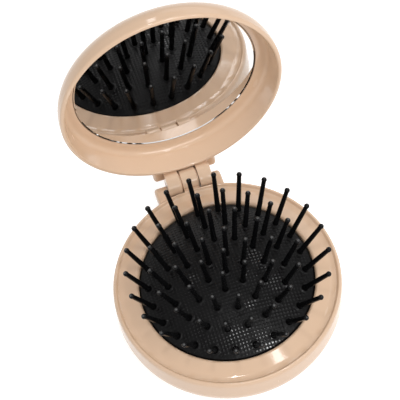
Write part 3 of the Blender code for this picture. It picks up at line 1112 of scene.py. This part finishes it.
@dataclass
class Finishes:
    """The five finishes of the brush, each made once."""

    brush: Brush

    def __post_init__(self) -> None:
        """Make the node groups and every material."""
        for effect in (Grain, Marks, WearAndCreaseShade, Dust):
            effect().build()
        brush = self.brush
        self.plastic = MouldedPlastic("warm_beige_plastic", Slot.PLASTIC, (0.70, 0.485, 0.33),
                                      0.085)
        self.rubber = EmbossedRubber("dotted_black_rubber", Slot.RUBBER,
                                     (0.0035, 0.0032, 0.0034), 0.30, specular=0.10,
                                     axis_y=brush.axis_y)
        self.nylon = PinNylon("black_pin_nylon", Slot.NYLON, (0.003, 0.003, 0.0034), 0.20,
                              specular=0.10, dome_centre=(0.0, brush.axis_y, brush.dome_centre_z),
                              tip_reach=brush.dome_radius + PinField.length)
        self.mirror = SilveredGlass("silvered_glass", Slot.MIRROR, (0.80, 0.80, 0.80), 0.012, 1.0)
        self.steel = DrawnSteel("drawn_steel", Slot.STEEL, (0.56, 0.56, 0.58), 0.28, 1.0)
        every = (self.plastic, self.rubber, self.nylon, self.mirror, self.steel)
        self.materials = {finish.slot: finish.build() for finish in every}

    def coat(self, piece: Piece, finish: Finish, node: str) -> None:
        """Give a piece its finish and hide the frame's node that it replaces, with no body yet.

        Args:
            piece: The modelled piece.
            finish: Its finish.
            node: The frame's node that it replaces.
        """
        piece.data.materials.clear()
        piece.data.materials.append(self.materials[finish.slot])
        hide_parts(node)

    def dress(self, piece: Piece, finish: Finish, body: str, node: str) -> None:
        """Give a piece its finish and its body, and hide the frame's node that it replaces.

        Args:
            piece: The modelled piece.
            finish: Its finish.
            body: The body that it rides on.
            node: The frame's node that it replaces.
        """
        self.coat(piece, finish, node)
        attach(piece, body)
        LOG.info("%s: %d faces, on %s", piece.name, len(piece.data.polygons), body)


# Sub-assemblies


@dataclass
class SubAssembly:
    """What each sub-assembly is given: the shared sizes and the finishes."""

    brush: Brush
    finishes: Finishes

    def spun(self, name: str, profile: Sequence[Point]) -> Piece:
        """Turn a piece round the base's axis."""
        return turned(name, profile, self.brush.turn_steps, self.brush.axis_y)


@dataclass
class BaseHousing(SubAssembly):
    """The round base shell with its hinge lugs, and the bezel that holds the rubber."""

    shell_floor: float = 0.0017
    rim_fall: Point = (0.00095, 0.0018)
    rim_inner_height: float = 0.00073
    rim_handles: tuple[Point, Point] = ((0.40, 0.14), (0.60, 1.0))
    rim_points: int = 11
    foot_round: Point = (0.0055, 0.0075)
    ledge_width: float = 0.0014
    finger_hole_radius: float = 0.011
    finger_hole_round: float = 0.0006
    seat_wall: float = 0.0015
    seat_inset: float = 0.0012
    seat_foot: float = 0.0012
    seat_round: float = 0.0002
    skirt_wall: float = 0.0017
    flange_clearance: float = 0.0006
    crest_rise: float = 0.001
    edge_drop: float = 0.0015
    lip_round: float = 0.0009
    lip_end: float = radians(70)
    bezel_gap: float = 0.00002
    dish_round: float = 0.0035
    dish_reach: float = 0.0024
    tongue_trim: float = 0.00018
    tongue_root_drop: float = 0.0058
    tongue_wrap: float = radians(60)
    barrel_radius: float = 0.0039
    barrel_facet: float = 0.0037
    cheek_widths: tuple[float, float] = (0.0041, 0.0029)
    cheek_clearance: float = 0.0001
    cheek_round: float = 0.0010
    boss_radius: float = 0.0031
    boss_clearance: float = 0.0001
    boss_sides: int = 72
    core_drop: float = 0.0016
    recess_clearance: float = 0.00055
    recess_crease: float = radians(25)
    cheek_radius: float = 0.0029
    cheek_root: float = 0.0011
    cheek_setback: float = 0.0019
    cheek_drop: float = 0.0028
    lug_round: float = 0.00025
    cut_round: float = 0.00012

    @property
    def bezel_radius(self) -> float:
        """Outer radius of the bezel's skirt in the shell."""
        return self.brush.inner_radius - self.brush.fit_gap

    @property
    def cheek_inner(self) -> float:
        """Where the knuckles' recess ends on both sides."""
        return self.brush.tongue_half_width + self.brush.knuckle_width + 2 * self.brush.fit_gap

    @property
    def ledge_radius(self) -> float:
        """Inner radius of the ledge that the bezel's skirt stands on."""
        return self.brush.inner_radius - self.ledge_width

    @property
    def sweep(self) -> float:
        """Radius of the recess in which the knuckles turn."""
        return self.brush.knuckle_radius + self.recess_clearance

    def shell_profile(self) -> list[Point]:
        """Draw the shell's section, down its outer side and up the inside.

        Returns:
            Radius and height of each point.
        """
        brush, ledge = self.brush, self.ledge_radius
        foot = (brush.body_radius - self.foot_round[0], self.foot_round[1])
        rim = (brush.body_radius - self.rim_fall[0], brush.base_height - self.rim_fall[1])
        hole = (self.finger_hole_radius + self.finger_hole_round, self.finger_hole_round)
        return [
            *arc(rim, self.rim_fall, pi / 2, 0, 14),
            *arc(foot, self.foot_round, 0, -pi / 2, 24),
            *arc(hole, self.finger_hole_round, -pi / 2, -pi, 6),
            (self.finger_hole_radius, self.shell_floor),
            (ledge, self.shell_floor),
            (ledge, brush.seat_top),
            (brush.inner_radius, brush.seat_top),
            *self.rim_inside((rim[0], brush.base_height)),
        ]

    def rim_inside(self, crest: Point) -> list[Point]:
        """Draw the rim's soft inner side, from the bezel's edge up to the crest.

        Args:
            crest: Where the curve ends, level.

        Returns:
            The points of an S-shaped curve.
        """
        rise = self.rim_inner_height
        start = (self.brush.inner_radius, crest[1] - rise)
        run = crest[0] - start[0]
        handles = [Vector((start[0] + run * x, start[1] + rise * z)) for x, z in self.rim_handles]
        curve = interpolate_bezier(Vector(start), *handles, Vector(crest), self.rim_points)
        return [(point.x, point.y) for point in curve]

    def seat_profile(self) -> list[Point]:
        """Draw the section of the loose ring that carries the rubber's flange.

        Returns:
            Radius and height of each point.
        """
        brush, soft, top = self.brush, self.seat_round, self.brush.seat_top
        outer = self.bezel_radius - self.skirt_wall - self.flange_clearance - self.seat_inset
        inner = outer - self.seat_wall
        low = self.shell_floor + brush.fit_gap
        step = low + self.seat_foot
        foot = self.ledge_radius - brush.fit_gap
        return [
            *arc((outer - soft, top - soft), soft, pi / 2, 0, 3),
            (outer, step),
            *arc((foot - soft, step - soft), soft, pi / 2, 0, 3),
            (foot, low),
            (inner, low),
            *arc((inner + soft, top - soft), soft, pi, pi / 2, 3),
            (outer - soft, top),
        ]

    def bezel_profile(self) -> list[Point]:
        """Draw the bezel's section: lip, cone, edge at the crease and skirt.

        Returns:
            Radius and height of each point.
        """
        brush = self.brush
        lip = (brush.opening_radius + self.lip_round,
               brush.base_height + self.crest_rise - self.lip_round)
        underside = brush.base_height - brush.underside_drop
        skirt = self.bezel_radius - self.skirt_wall
        bottom = brush.seat_top + brush.fit_gap
        return [
            *arc(lip, self.lip_round, pi, self.lip_end, 10),
            *self.cone_and_dish(lip[0]),
            (brush.inner_radius - self.bezel_gap, underside),
            (self.bezel_radius, underside),
            (self.bezel_radius, bottom),
            (skirt, bottom),
            (skirt, underside),
            (brush.opening_radius, underside),
            (brush.opening_radius, lip[1]),
        ]

    def cone_and_dish(self, lip_radius: float) -> list[Point]:
        """Draw the foot of the bezel's cone and the hollow beside it.

        Args:
            lip_radius: Radius of the lip's crest, where the cone starts.

        Returns:
            The points from the cone's foot to the bezel's edge.
        """
        brush, reach = self.brush, self.dish_round
        top = brush.base_height + self.crest_rise
        low = brush.base_height - self.edge_drop
        slope = atan((top - low) / (self.bezel_radius - lip_radius))
        foot = brush.inner_radius - self.dish_reach
        length = (foot - lip_radius) / cos(slope)
        middle = (foot + reach * sin(slope), top - length * sin(slope) + reach * cos(slope))
        side = brush.inner_radius - self.bezel_gap - middle[0]
        return arc(middle, reach, -pi / 2 - slope, -acos(side / reach), 14)

    def tongue_outline(self) -> list[Point]:
        """Draw the middle knuckle from the side: a root in the rim, a barrel, a gusset.

        Returns:
            Y and Z of each point.
        """
        brush, hinge = self.brush, self.brush.hinge
        root = brush.axis_y + brush.inner_radius + brush.fit_gap
        top = brush.base_height - brush.fit_gap
        first = pi - asin((top - hinge.z) / self.barrel_radius)
        barrel = arc((hinge.y, hinge.z), self.barrel_radius, first, -self.tongue_wrap, 28)
        barrel = faceted(barrel, (hinge.y, hinge.z), brush.hinge_facet, self.barrel_facet)
        return [(root, hinge.z - self.tongue_root_drop), (root, top), *barrel]

    def cheek_outline(self) -> list[Point]:
        """Draw a cheek from the side: a lug with a round back.

        Returns:
            Y and Z of each point.
        """
        brush, reach = self.brush, self.cheek_radius
        root = brush.axis_y + brush.inner_radius - self.cheek_root + brush.fit_gap
        centre = (brush.hinge.y - self.cheek_setback, brush.hinge.z - self.cheek_drop)
        back = arc(centre, reach, pi / 2, -pi / 2, 20)
        return [(root, centre[1] - reach), (root, centre[1] + reach), *back]

    def build_cheek(self, side: int, width: float) -> Piece:
        """Model a cheek, rounded outside and square where it faces the knuckle.

        Args:
            side: -1 for the cheek on the left and 1 for the one on the right.
            width: Its width from the end of the recess.

        Returns:
            The closed cheek.
        """
        inner = self.cheek_inner - self.brush.fit_gap + self.cheek_clearance
        ends = sorted((side * (inner - self.cheek_round), side * (self.cheek_inner + width)))
        cheek = slab("cheek", self.cheek_outline(), *ends, self.cheek_round)
        with editing(cheek):
            bpy.ops.mesh.bisect(plane_co=(side * inner, 0, 0), plane_no=(side, 0, 0),
                                use_fill=True, clear_inner=True)
            close_shell()
        return cheek

    def build_shell(self) -> Piece:
        """Model the base shell.

        Returns:
            The shell with its tongue and cheeks, bored for the hinge pin.
        """
        brush, hinge = self.brush, self.brush.hinge
        shell = self.spun("base_shell_moulding", self.shell_profile())
        recess = bar("knuckle_recess", self.sweep, self.cheek_inner, hinge, BAR_SIDES)
        carve(shell, recess, Cut.REMOVE)
        with editing(shell):
            select_edges(shell, self.on_recess)
            bpy.ops.mesh.bevel(offset=self.cut_round, segments=EDGE_SEGMENTS, affect="EDGES",
                               clamp_overlap=True)
            close_shell()
        half = brush.tongue_half_width - self.tongue_trim
        boss = brush.tongue_half_width + brush.fit_gap - self.boss_clearance
        core = ((-boss, brush.axis_y + brush.inner_radius + brush.fit_gap,
                 hinge.z - self.tongue_root_drop), (boss, hinge.y, hinge.z - self.core_drop))
        carve(shell, slab("tongue", self.tongue_outline(), -half, half, self.lug_round), Cut.JOIN)
        carve(shell, bar("tongue_boss", self.boss_radius, boss, hinge, self.boss_sides), Cut.JOIN)
        carve(shell, block("tongue_core", *core, self.cut_round), Cut.JOIN)
        for side, width in zip((-1, 1), self.cheek_widths):
            carve(shell, self.build_cheek(side, width), Cut.JOIN)
        bore = brush.pin_radius + brush.fit_gap
        carve(shell, bar("tongue_bore", bore, boss + OVERRUN, hinge, BORE_SIDES), Cut.REMOVE)
        return mend(shell)

    def on_recess(self, edge: Edge) -> bool:
        """Tell whether an edge is a sharp one where the recess meets the shell's outside.

        Args:
            edge: An edge of the shell.

        Returns:
            Whether it is one.
        """
        if not edge.is_manifold or edge.calc_face_angle(0.0) < self.recess_crease:
            return False
        hinge, limit = self.brush.hinge, self.sweep + WELD
        return all(abs(vert.co.x) < self.cheek_inner + WELD
                   and hypot(vert.co.y - hinge.y, vert.co.z - hinge.z) < limit
                   for vert in edge.verts)

    def build(self) -> None:
        """Model and dress the shell and both rings."""
        for piece, node in (
            (self.build_shell(), "base_shell"),
            (self.spun("cushion_seat_ring", self.seat_profile()), "cushion_seat"),
            (self.spun("cushion_bezel_ring", self.bezel_profile()), "cushion_bezel"),
        ):
            shade(piece)
            self.finishes.dress(piece, self.finishes.plastic, Body.BASE.value, node)


@dataclass
class RubberCushion(SubAssembly):
    """The popped-up rubber cushion, embossed all over, with a collar round each pin."""

    dot_pitch: float = EmbossedRubber.dot_pitch
    cells_per_dot: int = 6
    dot_height: float = 0.00012
    dot_foot: float = 0.2
    dot_top: float = 0.56
    collar_height: float = 0.00028
    collar_radius: float = 0.00125
    collar_width: float = 0.00032
    edge_margin: float = 0.0012
    edge_roll: float = 0.0009
    roll_start: float = radians(62)
    flange_reach: float = 0.0047
    inner_rings: int = 7
    blend_low: float = 0.0126
    blend_high: float = 0.0215

    @property
    def top_radius(self) -> float:
        """Radius where the embossed top ends and the rolled edge starts."""
        return self.brush.cushion_radius - self.edge_margin

    def relief(self, x: np.ndarray, y: np.ndarray) -> np.ndarray:
        """Work out the embossing's height.

        Args:
            x: Distances across, from the base's axis.
            y: Distances back, from the base's axis.

        Returns:
            The height above the smooth dome at each point.
        """
        wave_x = 0.5 + 0.5 * np.cos(2 * pi * x / self.dot_pitch)
        wave_y = 0.5 + 0.5 * np.cos(2 * pi * y / self.dot_pitch)
        rise = np.clip((wave_x * wave_y - self.dot_foot) / (self.dot_top - self.dot_foot), 0, 1)
        height = self.dot_height * rise
        height *= np.clip((self.top_radius - np.hypot(x, y)) / self.dot_pitch, 0, 1)
        for ring in range(self.brush.rings + 1):
            for place in self.brush.pin_places(ring):
                spot = place.translation
                away = np.hypot(x - spot.x, y + self.brush.axis_y - spot.y)
                collar = np.exp(-(((away - self.collar_radius) / self.collar_width) ** 2))
                near = np.clip((away - self.collar_radius) / self.collar_radius, 0, 1)
                height = height * near + self.collar_height * collar
        return height

    def edge_rings(self) -> list[Point]:
        """Draw the rings from the embossed top round to the inside.

        Returns:
            Radius and height of each ring.
        """
        brush, roll = self.brush, self.edge_roll
        outer = brush.cushion_radius - roll
        flange = brush.cushion_radius + self.flange_reach
        inner_wall = brush.cushion_radius - brush.rubber
        inner_dome = brush.dome_radius - brush.rubber
        inner = inner_wall - roll
        inner_z = brush.dome_centre_z + sqrt(inner_dome**2 - inner**2)
        rings = [
            *arc((outer, brush.dome_height(outer) - roll), roll, self.roll_start, 0, 5),
            (brush.cushion_radius, brush.flange_top),
            (flange, brush.flange_top),
            (flange, brush.flange_top - brush.rubber),
            (inner_wall, brush.flange_top - brush.rubber),
            *arc((inner, inner_z - roll), roll, 0, pi / 2, 3),
        ]
        for step in range(1, self.inner_rings):
            radius = inner * (1 - step / self.inner_rings)
            rings.append((radius, brush.dome_centre_z + sqrt(inner_dome**2 - radius**2)))
        return rings

    def trim_top(self, piece: Piece) -> None:
        """Trim a grid to the disc of the embossed top, with a true round edge.

        Args:
            piece: The grid, at the height of the table.
        """
        axis_y, limit = self.brush.axis_y, self.top_radius
        with editing(piece):
            bpy.ops.mesh.select_all(action="DESELECT")
            for face in bmesh.from_edit_mesh(piece.data).faces:
                if any(hypot(vert.co.x, vert.co.y - axis_y) > limit for vert in face.verts):
                    face.select_set(True)
            bmesh.update_edit_mesh(piece.data)
            bpy.ops.mesh.delete(type="FACE")
            for vert in bmesh.from_edit_mesh(piece.data).verts:
                if vert.is_boundary:
                    flat = Vector((vert.co.x, vert.co.y - axis_y, 0)).normalized() * limit
                    vert.co.x, vert.co.y = flat.x, flat.y + axis_y
            bmesh.update_edit_mesh(piece.data)

    def build_top(self) -> Piece:
        """Model the embossed top as a fine grid, trimmed to a disc.

        Returns:
            The open top sheet.
        """
        brush = self.brush
        cell = self.dot_pitch / self.cells_per_dot
        cells = 2 * int(self.top_radius / cell + 1)
        deselect_all()
        bpy.ops.mesh.primitive_grid_add(x_subdivisions=cells, y_subdivisions=cells,
                                        size=cells * cell, location=(0, brush.axis_y, 0))
        piece = settle(named("rubber_cushion"))
        self.trim_top(piece)
        verts = piece.data.vertices
        points = np.empty(len(verts) * 3)
        verts.foreach_get("co", points)
        x, y = points[0::3].copy(), points[1::3] - brush.axis_y
        reach = (brush.dome_radius + self.relief(x, y)) / brush.dome_radius
        points[0::3] = x * reach
        points[1::3] = y * reach + brush.axis_y
        points[2::3] = brush.dome_centre_z + np.sqrt(brush.dome_radius**2 - x**2 - y**2) * reach
        verts.foreach_set("co", points)
        piece.data.update()
        return piece

    def build(self) -> None:
        """Model the rubber and dress it."""
        brush = self.brush
        piece = self.build_top()
        radius, height = self.top_radius, brush.dome_height(self.top_radius)
        with editing(piece):
            select_edges(piece, lambda edge: edge.is_boundary)
            for next_radius, next_height in self.edge_rings():
                move = {"value": (0, 0, next_height - height)}
                bpy.ops.mesh.extrude_edges_move(TRANSFORM_OT_translate=move)
                grow = next_radius / radius
                bpy.ops.transform.resize(value=(grow, grow, 1),
                                         center_override=(0, brush.axis_y, 0))
                radius, height = next_radius, next_height
            bpy.ops.mesh.merge(type="COLLAPSE")
            close_shell()
        shade(piece, pi)
        self.finishes.coat(piece, self.finishes.rubber, "cushion")
        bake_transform(piece)
        LOG.info("%s: %d faces, between base and plate", piece.name, len(piece.data.polygons))


@dataclass
class PinField(SubAssembly):
    """All the ball-tipped pins, and the push plate that carries the inner ones."""

    length: float = 0.0155
    root_radius: float = 0.00092
    neck_radius: float = 0.00076
    tip_radius: float = 0.00093
    head_radius: float = 0.0016
    head_height: float = 0.0008
    head_round: float = 0.0002
    sides: int = 18
    plate_margin: float = 0.0025
    plate_thickness: float = 0.0015
    plate_round: float = 0.0003
    embed: float = 0.0008
    plate_steps: int = 96

    def pin_profile(self, headed: bool) -> list[Point]:
        """Draw a pin's section from its tip to its head or its buried end.

        Args:
            headed: Whether the pin has a head of its own behind the rubber.

        Returns:
            Radius and height along the pin, its root at height 0.
        """
        neck = -acos(self.neck_radius / self.tip_radius)
        tip = arc((0, self.length - self.tip_radius), self.tip_radius, pi / 2, neck, 9)
        behind = -self.brush.rubber - self.brush.fit_gap
        points = [*tip, (self.root_radius, 0)]
        if not headed:
            end = behind - self.embed
            return [*points, (self.root_radius, end), (0, end)]
        soft, low = self.head_round, behind - self.head_height
        edge = self.head_radius - soft
        return [
            *points,
            (self.root_radius, behind),
            *arc((edge, behind - soft), soft, pi / 2, 0, 2),
            *arc((edge, low + soft), soft, 0, -pi / 2, 2),
            (0, low),
        ]

    def plate_profile(self) -> list[Point]:
        """Draw the push plate's section, which follows the inside of the dome.

        Returns:
            Radius and height of each point.
        """
        brush, soft = self.brush, self.plate_round
        top = brush.dome_radius - brush.rubber - brush.fit_gap
        under = top - self.plate_thickness
        side = pi / 2 - asin((brush.plate_rings * brush.ring_pitch + self.plate_margin) / top)
        trim = soft / top
        middle = (0, brush.dome_centre_z)
        return [
            *arc(middle, top, pi / 2, side + trim, 12),
            *(arc(middle, edge, side, side, 1)[0] for edge in (top - soft, under + soft)),
            *arc(middle, under, side + trim, pi / 2, 12),
        ]

    def build(self) -> None:
        """Model and dress the plate with its pins, and every loose pin."""
        brush, finishes = self.brush, self.finishes
        plate = turned("push_plate_moulding", self.plate_profile(), self.plate_steps, brush.axis_y)
        fixed = turned("fixed_pin", self.pin_profile(False), self.sides)
        for ring in range(brush.plate_rings + 1):
            for place in brush.pin_places(ring):
                carve(plate, copied(fixed, "fixed_pin", place), Cut.JOIN)
        bpy.data.objects.remove(fixed)
        shade(plate)
        finishes.dress(plate, finishes.nylon, Body.PLATE.value, "push_plate")
        loose = turned("loose_pin", self.pin_profile(True), self.sides)
        shade(loose)
        for ring, label in ((brush.rings - 1, "second_ring_pin"), (brush.rings, "outer_ring_pin")):
            for number, place in enumerate(brush.pin_places(ring), start=1):
                node = f"{label}_{number:02d}"
                finishes.dress(copied(loose, f"ball_{node}", place), finishes.nylon, node, node)
        bpy.data.objects.remove(loose)


@dataclass
class MirrorLid(SubAssembly):
    """The lid shell with its tab and knuckles, the mirror in it and the hinge pin."""

    rim_round: float = 0.0011
    rim_inner_round: float = 0.0005
    rim_width: float = 0.0016
    straight: float = 0.0025
    round_width: float = 0.01
    floor_inset: float = 0.0053
    cove: float = 0.0028
    floor_depth: float = 0.0088
    back_wall: float = 0.0014
    mirror_inset: float = 0.00685
    mirror_recess: float = 0.0002
    mirror_thickness: float = 0.001
    mirror_edge: float = 0.00006
    mirror_slope: Point = (0.00031, 0.00019)
    mirror_sharp: float = radians(10)
    knuckle_round: float = 0.00025
    knuckle_facet: float = 0.0041
    tab_drop: float = 0.0029
    tab_half_width: float = 0.011
    tab_reach: float = 0.0052
    tab_thickness: float = 0.0044
    tab_round: float = 0.0012
    tongue_radius: float = 0.0039
    tongue_clearance: float = 0.0002
    pin_sides: int = 40
    pin_end_share: float = 0.25

    @property
    def mirror_face(self) -> float:
        """Height of the mirror's face in the closed lid."""
        return self.brush.lid_crest + self.floor_depth + self.mirror_recess

    @property
    def mirror_radius(self) -> float:
        """Radius of the mirror."""
        return self.brush.body_radius - self.mirror_inset

    @property
    def tab_low(self) -> float:
        """Height of the tab's lower side in the closed lid."""
        return self.brush.hinge.z + self.tab_drop + self.brush.fit_gap

    @property
    def knuckle_outer(self) -> float:
        """Where the outer faces of the knuckles stand."""
        return self.brush.knuckle_inner + self.brush.knuckle_width

    def lid_profile(self) -> list[Point]:
        """Draw the closed lid's section: back, outer side, rim, inner wall, pocket.

        Returns:
            Radius and height of each point.
        """
        brush, crest, soft = self.brush, self.brush.lid_crest, self.rim_inner_round
        pocket_z = self.mirror_face + self.mirror_thickness + brush.fit_gap
        back = pocket_z + self.back_wall
        shoulder = (brush.body_radius - self.round_width, crest + self.straight)
        rim = (brush.body_radius - self.rim_round, crest + self.rim_round)
        lip = (brush.body_radius - self.rim_width + soft, crest + soft)
        floor_z = crest + self.floor_depth
        cove = (brush.body_radius - self.floor_inset, floor_z - self.cove)
        pocket = self.mirror_radius + brush.fit_gap
        return [
            (0, back),
            *arc(shoulder, (self.round_width, back - shoulder[1]), pi / 2, 0, 28),
            *arc(rim, self.rim_round, 0, -pi / 2, 10),
            *arc(lip, soft, -pi / 2, -pi, 6),
            *arc(cove, self.cove, 0, pi / 2, 14),
            (pocket, floor_z),
            (pocket, pocket_z),
            (0, pocket_z),
        ]

    def knuckle_outline(self) -> list[Point]:
        """Draw a lid knuckle from the side, closed: a block on the wall, rounded behind.

        Returns:
            Y and Z of each point.
        """
        brush, hinge = self.brush, self.brush.hinge
        root = brush.axis_y + brush.inner_radius + brush.fit_gap
        bottom = brush.lid_crest + self.rim_inner_round
        top = self.tab_low + self.tab_thickness / 2
        last = -pi - asin((bottom - hinge.z) / brush.knuckle_radius)
        barrel = arc((hinge.y, hinge.z), brush.knuckle_radius, pi / 2, last, 36)
        barrel = faceted(barrel, (hinge.y, hinge.z), brush.hinge_facet + brush.open_angle,
                         self.knuckle_facet)
        return [(root, bottom), (root, top), (hinge.y, top), *barrel]

    def build_tab(self) -> Piece:
        """Model the tab over the knuckles, trimmed so that it starts in the lid's wall.

        Returns:
            The closed tab.
        """
        brush, low_z, thickness = self.brush, self.tab_low, self.tab_thickness
        behind = brush.axis_y + brush.body_radius + self.tab_reach
        tab = block("tab", (-self.tab_half_width, brush.axis_y, low_z),
                    (self.tab_half_width, behind, low_z + thickness), self.tab_round)
        wall = brush.body_radius - self.rim_width / 2
        above, below = low_z + 2 * thickness, low_z - thickness
        inside = [(0, above), (wall, above), (wall, below), (0, below)]
        carve(tab, self.spun("tab_trim", inside), Cut.REMOVE)
        return tab

    def build_shell(self) -> Piece:
        """Model the lid shell, closed.

        Returns:
            The shell with its tab and knuckles, bored for the hinge pin.
        """
        brush, hinge = self.brush, self.brush.hinge
        lid = self.spun("lid_shell_moulding", self.lid_profile())
        carve(lid, self.build_tab(), Cut.JOIN)
        for side in (-1, 1):
            ends = sorted((side * brush.knuckle_inner, side * self.knuckle_outer))
            knuckle = slab("knuckle", self.knuckle_outline(), *ends, self.knuckle_round)
            carve(lid, knuckle, Cut.JOIN)
        for name, radius, half, sides in (
            ("tongue_hollow", self.tongue_radius + self.tongue_clearance, brush.knuckle_inner,
             BAR_SIDES),
            ("lid_bore", brush.pin_radius + brush.fit_gap, self.knuckle_outer + OVERRUN,
             BORE_SIDES),
        ):
            carve(lid, bar(name, radius, half, hinge, sides), Cut.REMOVE)
        return mend(lid)

    def build_mirror(self) -> Piece:
        """Model the mirror, a disc with a raised edge whose inner slope catches the light.

        Returns:
            The closed mirror, as in the closed lid.
        """
        face, edge, radius = self.mirror_face, self.mirror_edge, self.mirror_radius
        back = face + self.mirror_thickness
        low = face - self.mirror_slope[1]
        profile = [(0, back), (radius, back), (radius, low + edge), (radius - edge, low),
                   (radius - edge - self.mirror_slope[0], face), (0, face)]
        return self.spun("round_mirror", profile)

    def build_pin(self) -> Piece:
        """Model the hinge pin, with softened ends.

        Returns:
            The closed pin.
        """
        brush = self.brush
        half = self.knuckle_outer - 2 * brush.fit_gap
        pin = bar("hinge_pin_wire", brush.pin_radius, half, brush.hinge, self.pin_sides)
        with editing(pin):
            select_edges(pin, lies_across)
            bpy.ops.mesh.bevel(offset=brush.pin_radius * self.pin_end_share,
                               segments=EDGE_SEGMENTS, affect="EDGES")
        return pin

    def build(self) -> None:
        """Model and dress the lid, the mirror and the hinge pin."""
        finishes = self.finishes
        for piece, finish, node, angle in (
            (self.build_shell(), finishes.plastic, "lid_shell", SHARP),
            (self.build_mirror(), finishes.mirror, "mirror", self.mirror_sharp),
        ):
            self.brush.opened(piece)
            shade(piece, angle)
            finishes.dress(piece, finish, Body.LID.value, node)
        pin = self.build_pin()
        shade(pin)
        finishes.dress(pin, finishes.steel, Body.BASE.value, "hinge_pin")


# Studio


@dataclass(frozen=True)
class Softbox:
    """A rectangular white lamp that faces the brush."""

    name: str
    direction: tuple[float, float, float]
    width: float
    height: float
    watts: float
    roll: float = 0.0
    distance: float = 1.2

    def build(self, target: Vector) -> None:
        """Set the lamp up.

        Args:
            target: The point that it faces.
        """
        lamp = bpy.data.lights.new(self.name, "AREA")
        lamp.shape = "RECTANGLE"
        lamp.size, lamp.size_y = self.width, self.height
        lamp.energy = self.watts
        holder = bpy.data.objects.new(self.name, lamp)
        bpy.context.scene.collection.objects.link(holder)
        towards = Vector(self.direction).normalized()
        holder.location = target + towards * self.distance
        turn = towards.to_track_quat("Z", "Y") @ Quaternion((0, 0, 1), self.roll)
        holder.rotation_euler = turn.to_euler()


@dataclass(frozen=True)
class PhotoCamera:
    """The photograph's camera: a long lens, high in front, slightly rolled."""

    azimuth: float = radians(-11.515)
    elevation: float = radians(61.395)
    roll: float = radians(-7.540)
    distance: float = 1.0
    lens_mm: float = 271.8
    sensor_mm: float = 36.0
    aim: tuple[float, float, float] = (-0.00029, 0.02537, 0.01306)

    def build(self, rim_middle: Vector) -> None:
        """Set the camera up.

        Args:
            rim_middle: The middle of the base's rim, from which the aim is counted.
        """
        lens = bpy.data.cameras.new("photo_camera")
        lens.lens = self.lens_mm
        lens.sensor_width = self.sensor_mm
        camera = bpy.data.objects.new("photo_camera", lens)
        bpy.context.scene.collection.objects.link(camera)
        level = Vector((cos(self.azimuth), sin(self.azimuth), 0))
        back = Vector((level.y * cos(self.elevation), -level.x * cos(self.elevation),
                       sin(self.elevation)))
        upright = back.cross(level)
        right = level * cos(self.roll) + upright * sin(self.roll)
        up = upright * cos(self.roll) - level * sin(self.roll)
        turn = Matrix((right, up, back)).transposed().to_4x4()
        spot = rim_middle + Vector(self.aim) + back * self.distance
        camera.matrix_world = Matrix.Translation(spot) @ turn
        bpy.context.scene.camera = camera


@dataclass
class Studio:
    """A pale floor, soft lamps and a white surround."""

    brush: Brush
    floor_size: float = 3.0
    floor_colour: Colour = (0.86, 0.86, 0.86)
    floor_glow: float = 0.6
    ambient: float = 0.56
    lamps: tuple[Softbox, ...] = (
        Softbox("front_softbox", (0.22, -0.62, 0.75), 1.2, 0.3, 6.1),
        Softbox("window_strip", (0.275, -0.355, 0.895), 0.10, 0.36, 1.6, radians(-28)),
        Softbox("side_strip", (0.51, 0.31, 0.78), 0.08, 0.45, 0.35, radians(79)),
        Softbox("low_softbox", (0.50, 0.79, 0.35), 0.9, 0.45, 0.8),
        Softbox("back_lamp", (0.03, 0.743, 0.669), 0.12, 0.16, 0.4),
        Softbox("overhead_lamp", (-0.026, -0.054, 0.998), 0.05, 0.06, 1.2),
    )

    def build_world(self) -> None:
        """White for the eye and for reflections, a plain grey level for the light."""
        world = bpy.data.worlds.new("white_surround")
        bpy.context.scene.world = world
        world.use_nodes = True
        board = Board(world.node_tree)
        strength = board.ramp(board.seen(), 0.0, 1.0, self.ambient, 1.0)
        glow = board.add("Background", {"Color": WHITE, "Strength": strength})
        board.add("OutputWorld", {"Surface": glow.outputs[0]})

    def build_floor(self) -> None:
        """A pale floor that looks white and keeps the brush's shadow."""
        deselect_all()
        bpy.ops.mesh.primitive_plane_add(size=self.floor_size)
        floor = named("studio_floor")
        material = bpy.data.materials.new("pale_floor")
        material.use_nodes = True
        board = Board(material.node_tree)
        matt = board.add("BsdfDiffuse", {"Color": (*self.floor_colour, 1.0)})
        strength = board.calc("MULTIPLY", board.seen(), self.floor_glow)
        glow = board.add("Emission", {"Color": WHITE, "Strength": strength})
        both = board.add("AddShader", {0: matt.outputs[0], 1: glow.outputs[0]})
        board.add("OutputMaterial", {"Surface": both.outputs[0]})
        floor.data.materials.append(material)

    def build(self) -> None:
        """Set up floor, lamps, surround and camera."""
        bpy.context.scene.view_settings.view_transform = "Standard"
        rim_middle = Vector((0, self.brush.axis_y, self.brush.base_height))
        self.build_world()
        self.build_floor()
        for lamp in self.lamps:
            lamp.build(rim_middle)
        PhotoCamera().build(rim_middle)
        LOG.info("studio: %d lamps", len(self.lamps))


def main() -> None:
    """Load the frame, then build the studio and each sub-assembly over it."""
    logging.basicConfig(level=logging.INFO, format="%(name)s: %(message)s")
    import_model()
    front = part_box("base_shell")[0].y
    brush = Brush(axis_y=front + Brush.body_radius)
    finishes = Finishes(brush)
    Studio(brush).build()
    for sub_assembly in (BaseHousing, RubberCushion, PinField, MirrorLid):
        sub_assembly(brush, finishes).build()


if __name__ == "__main__":
    main()
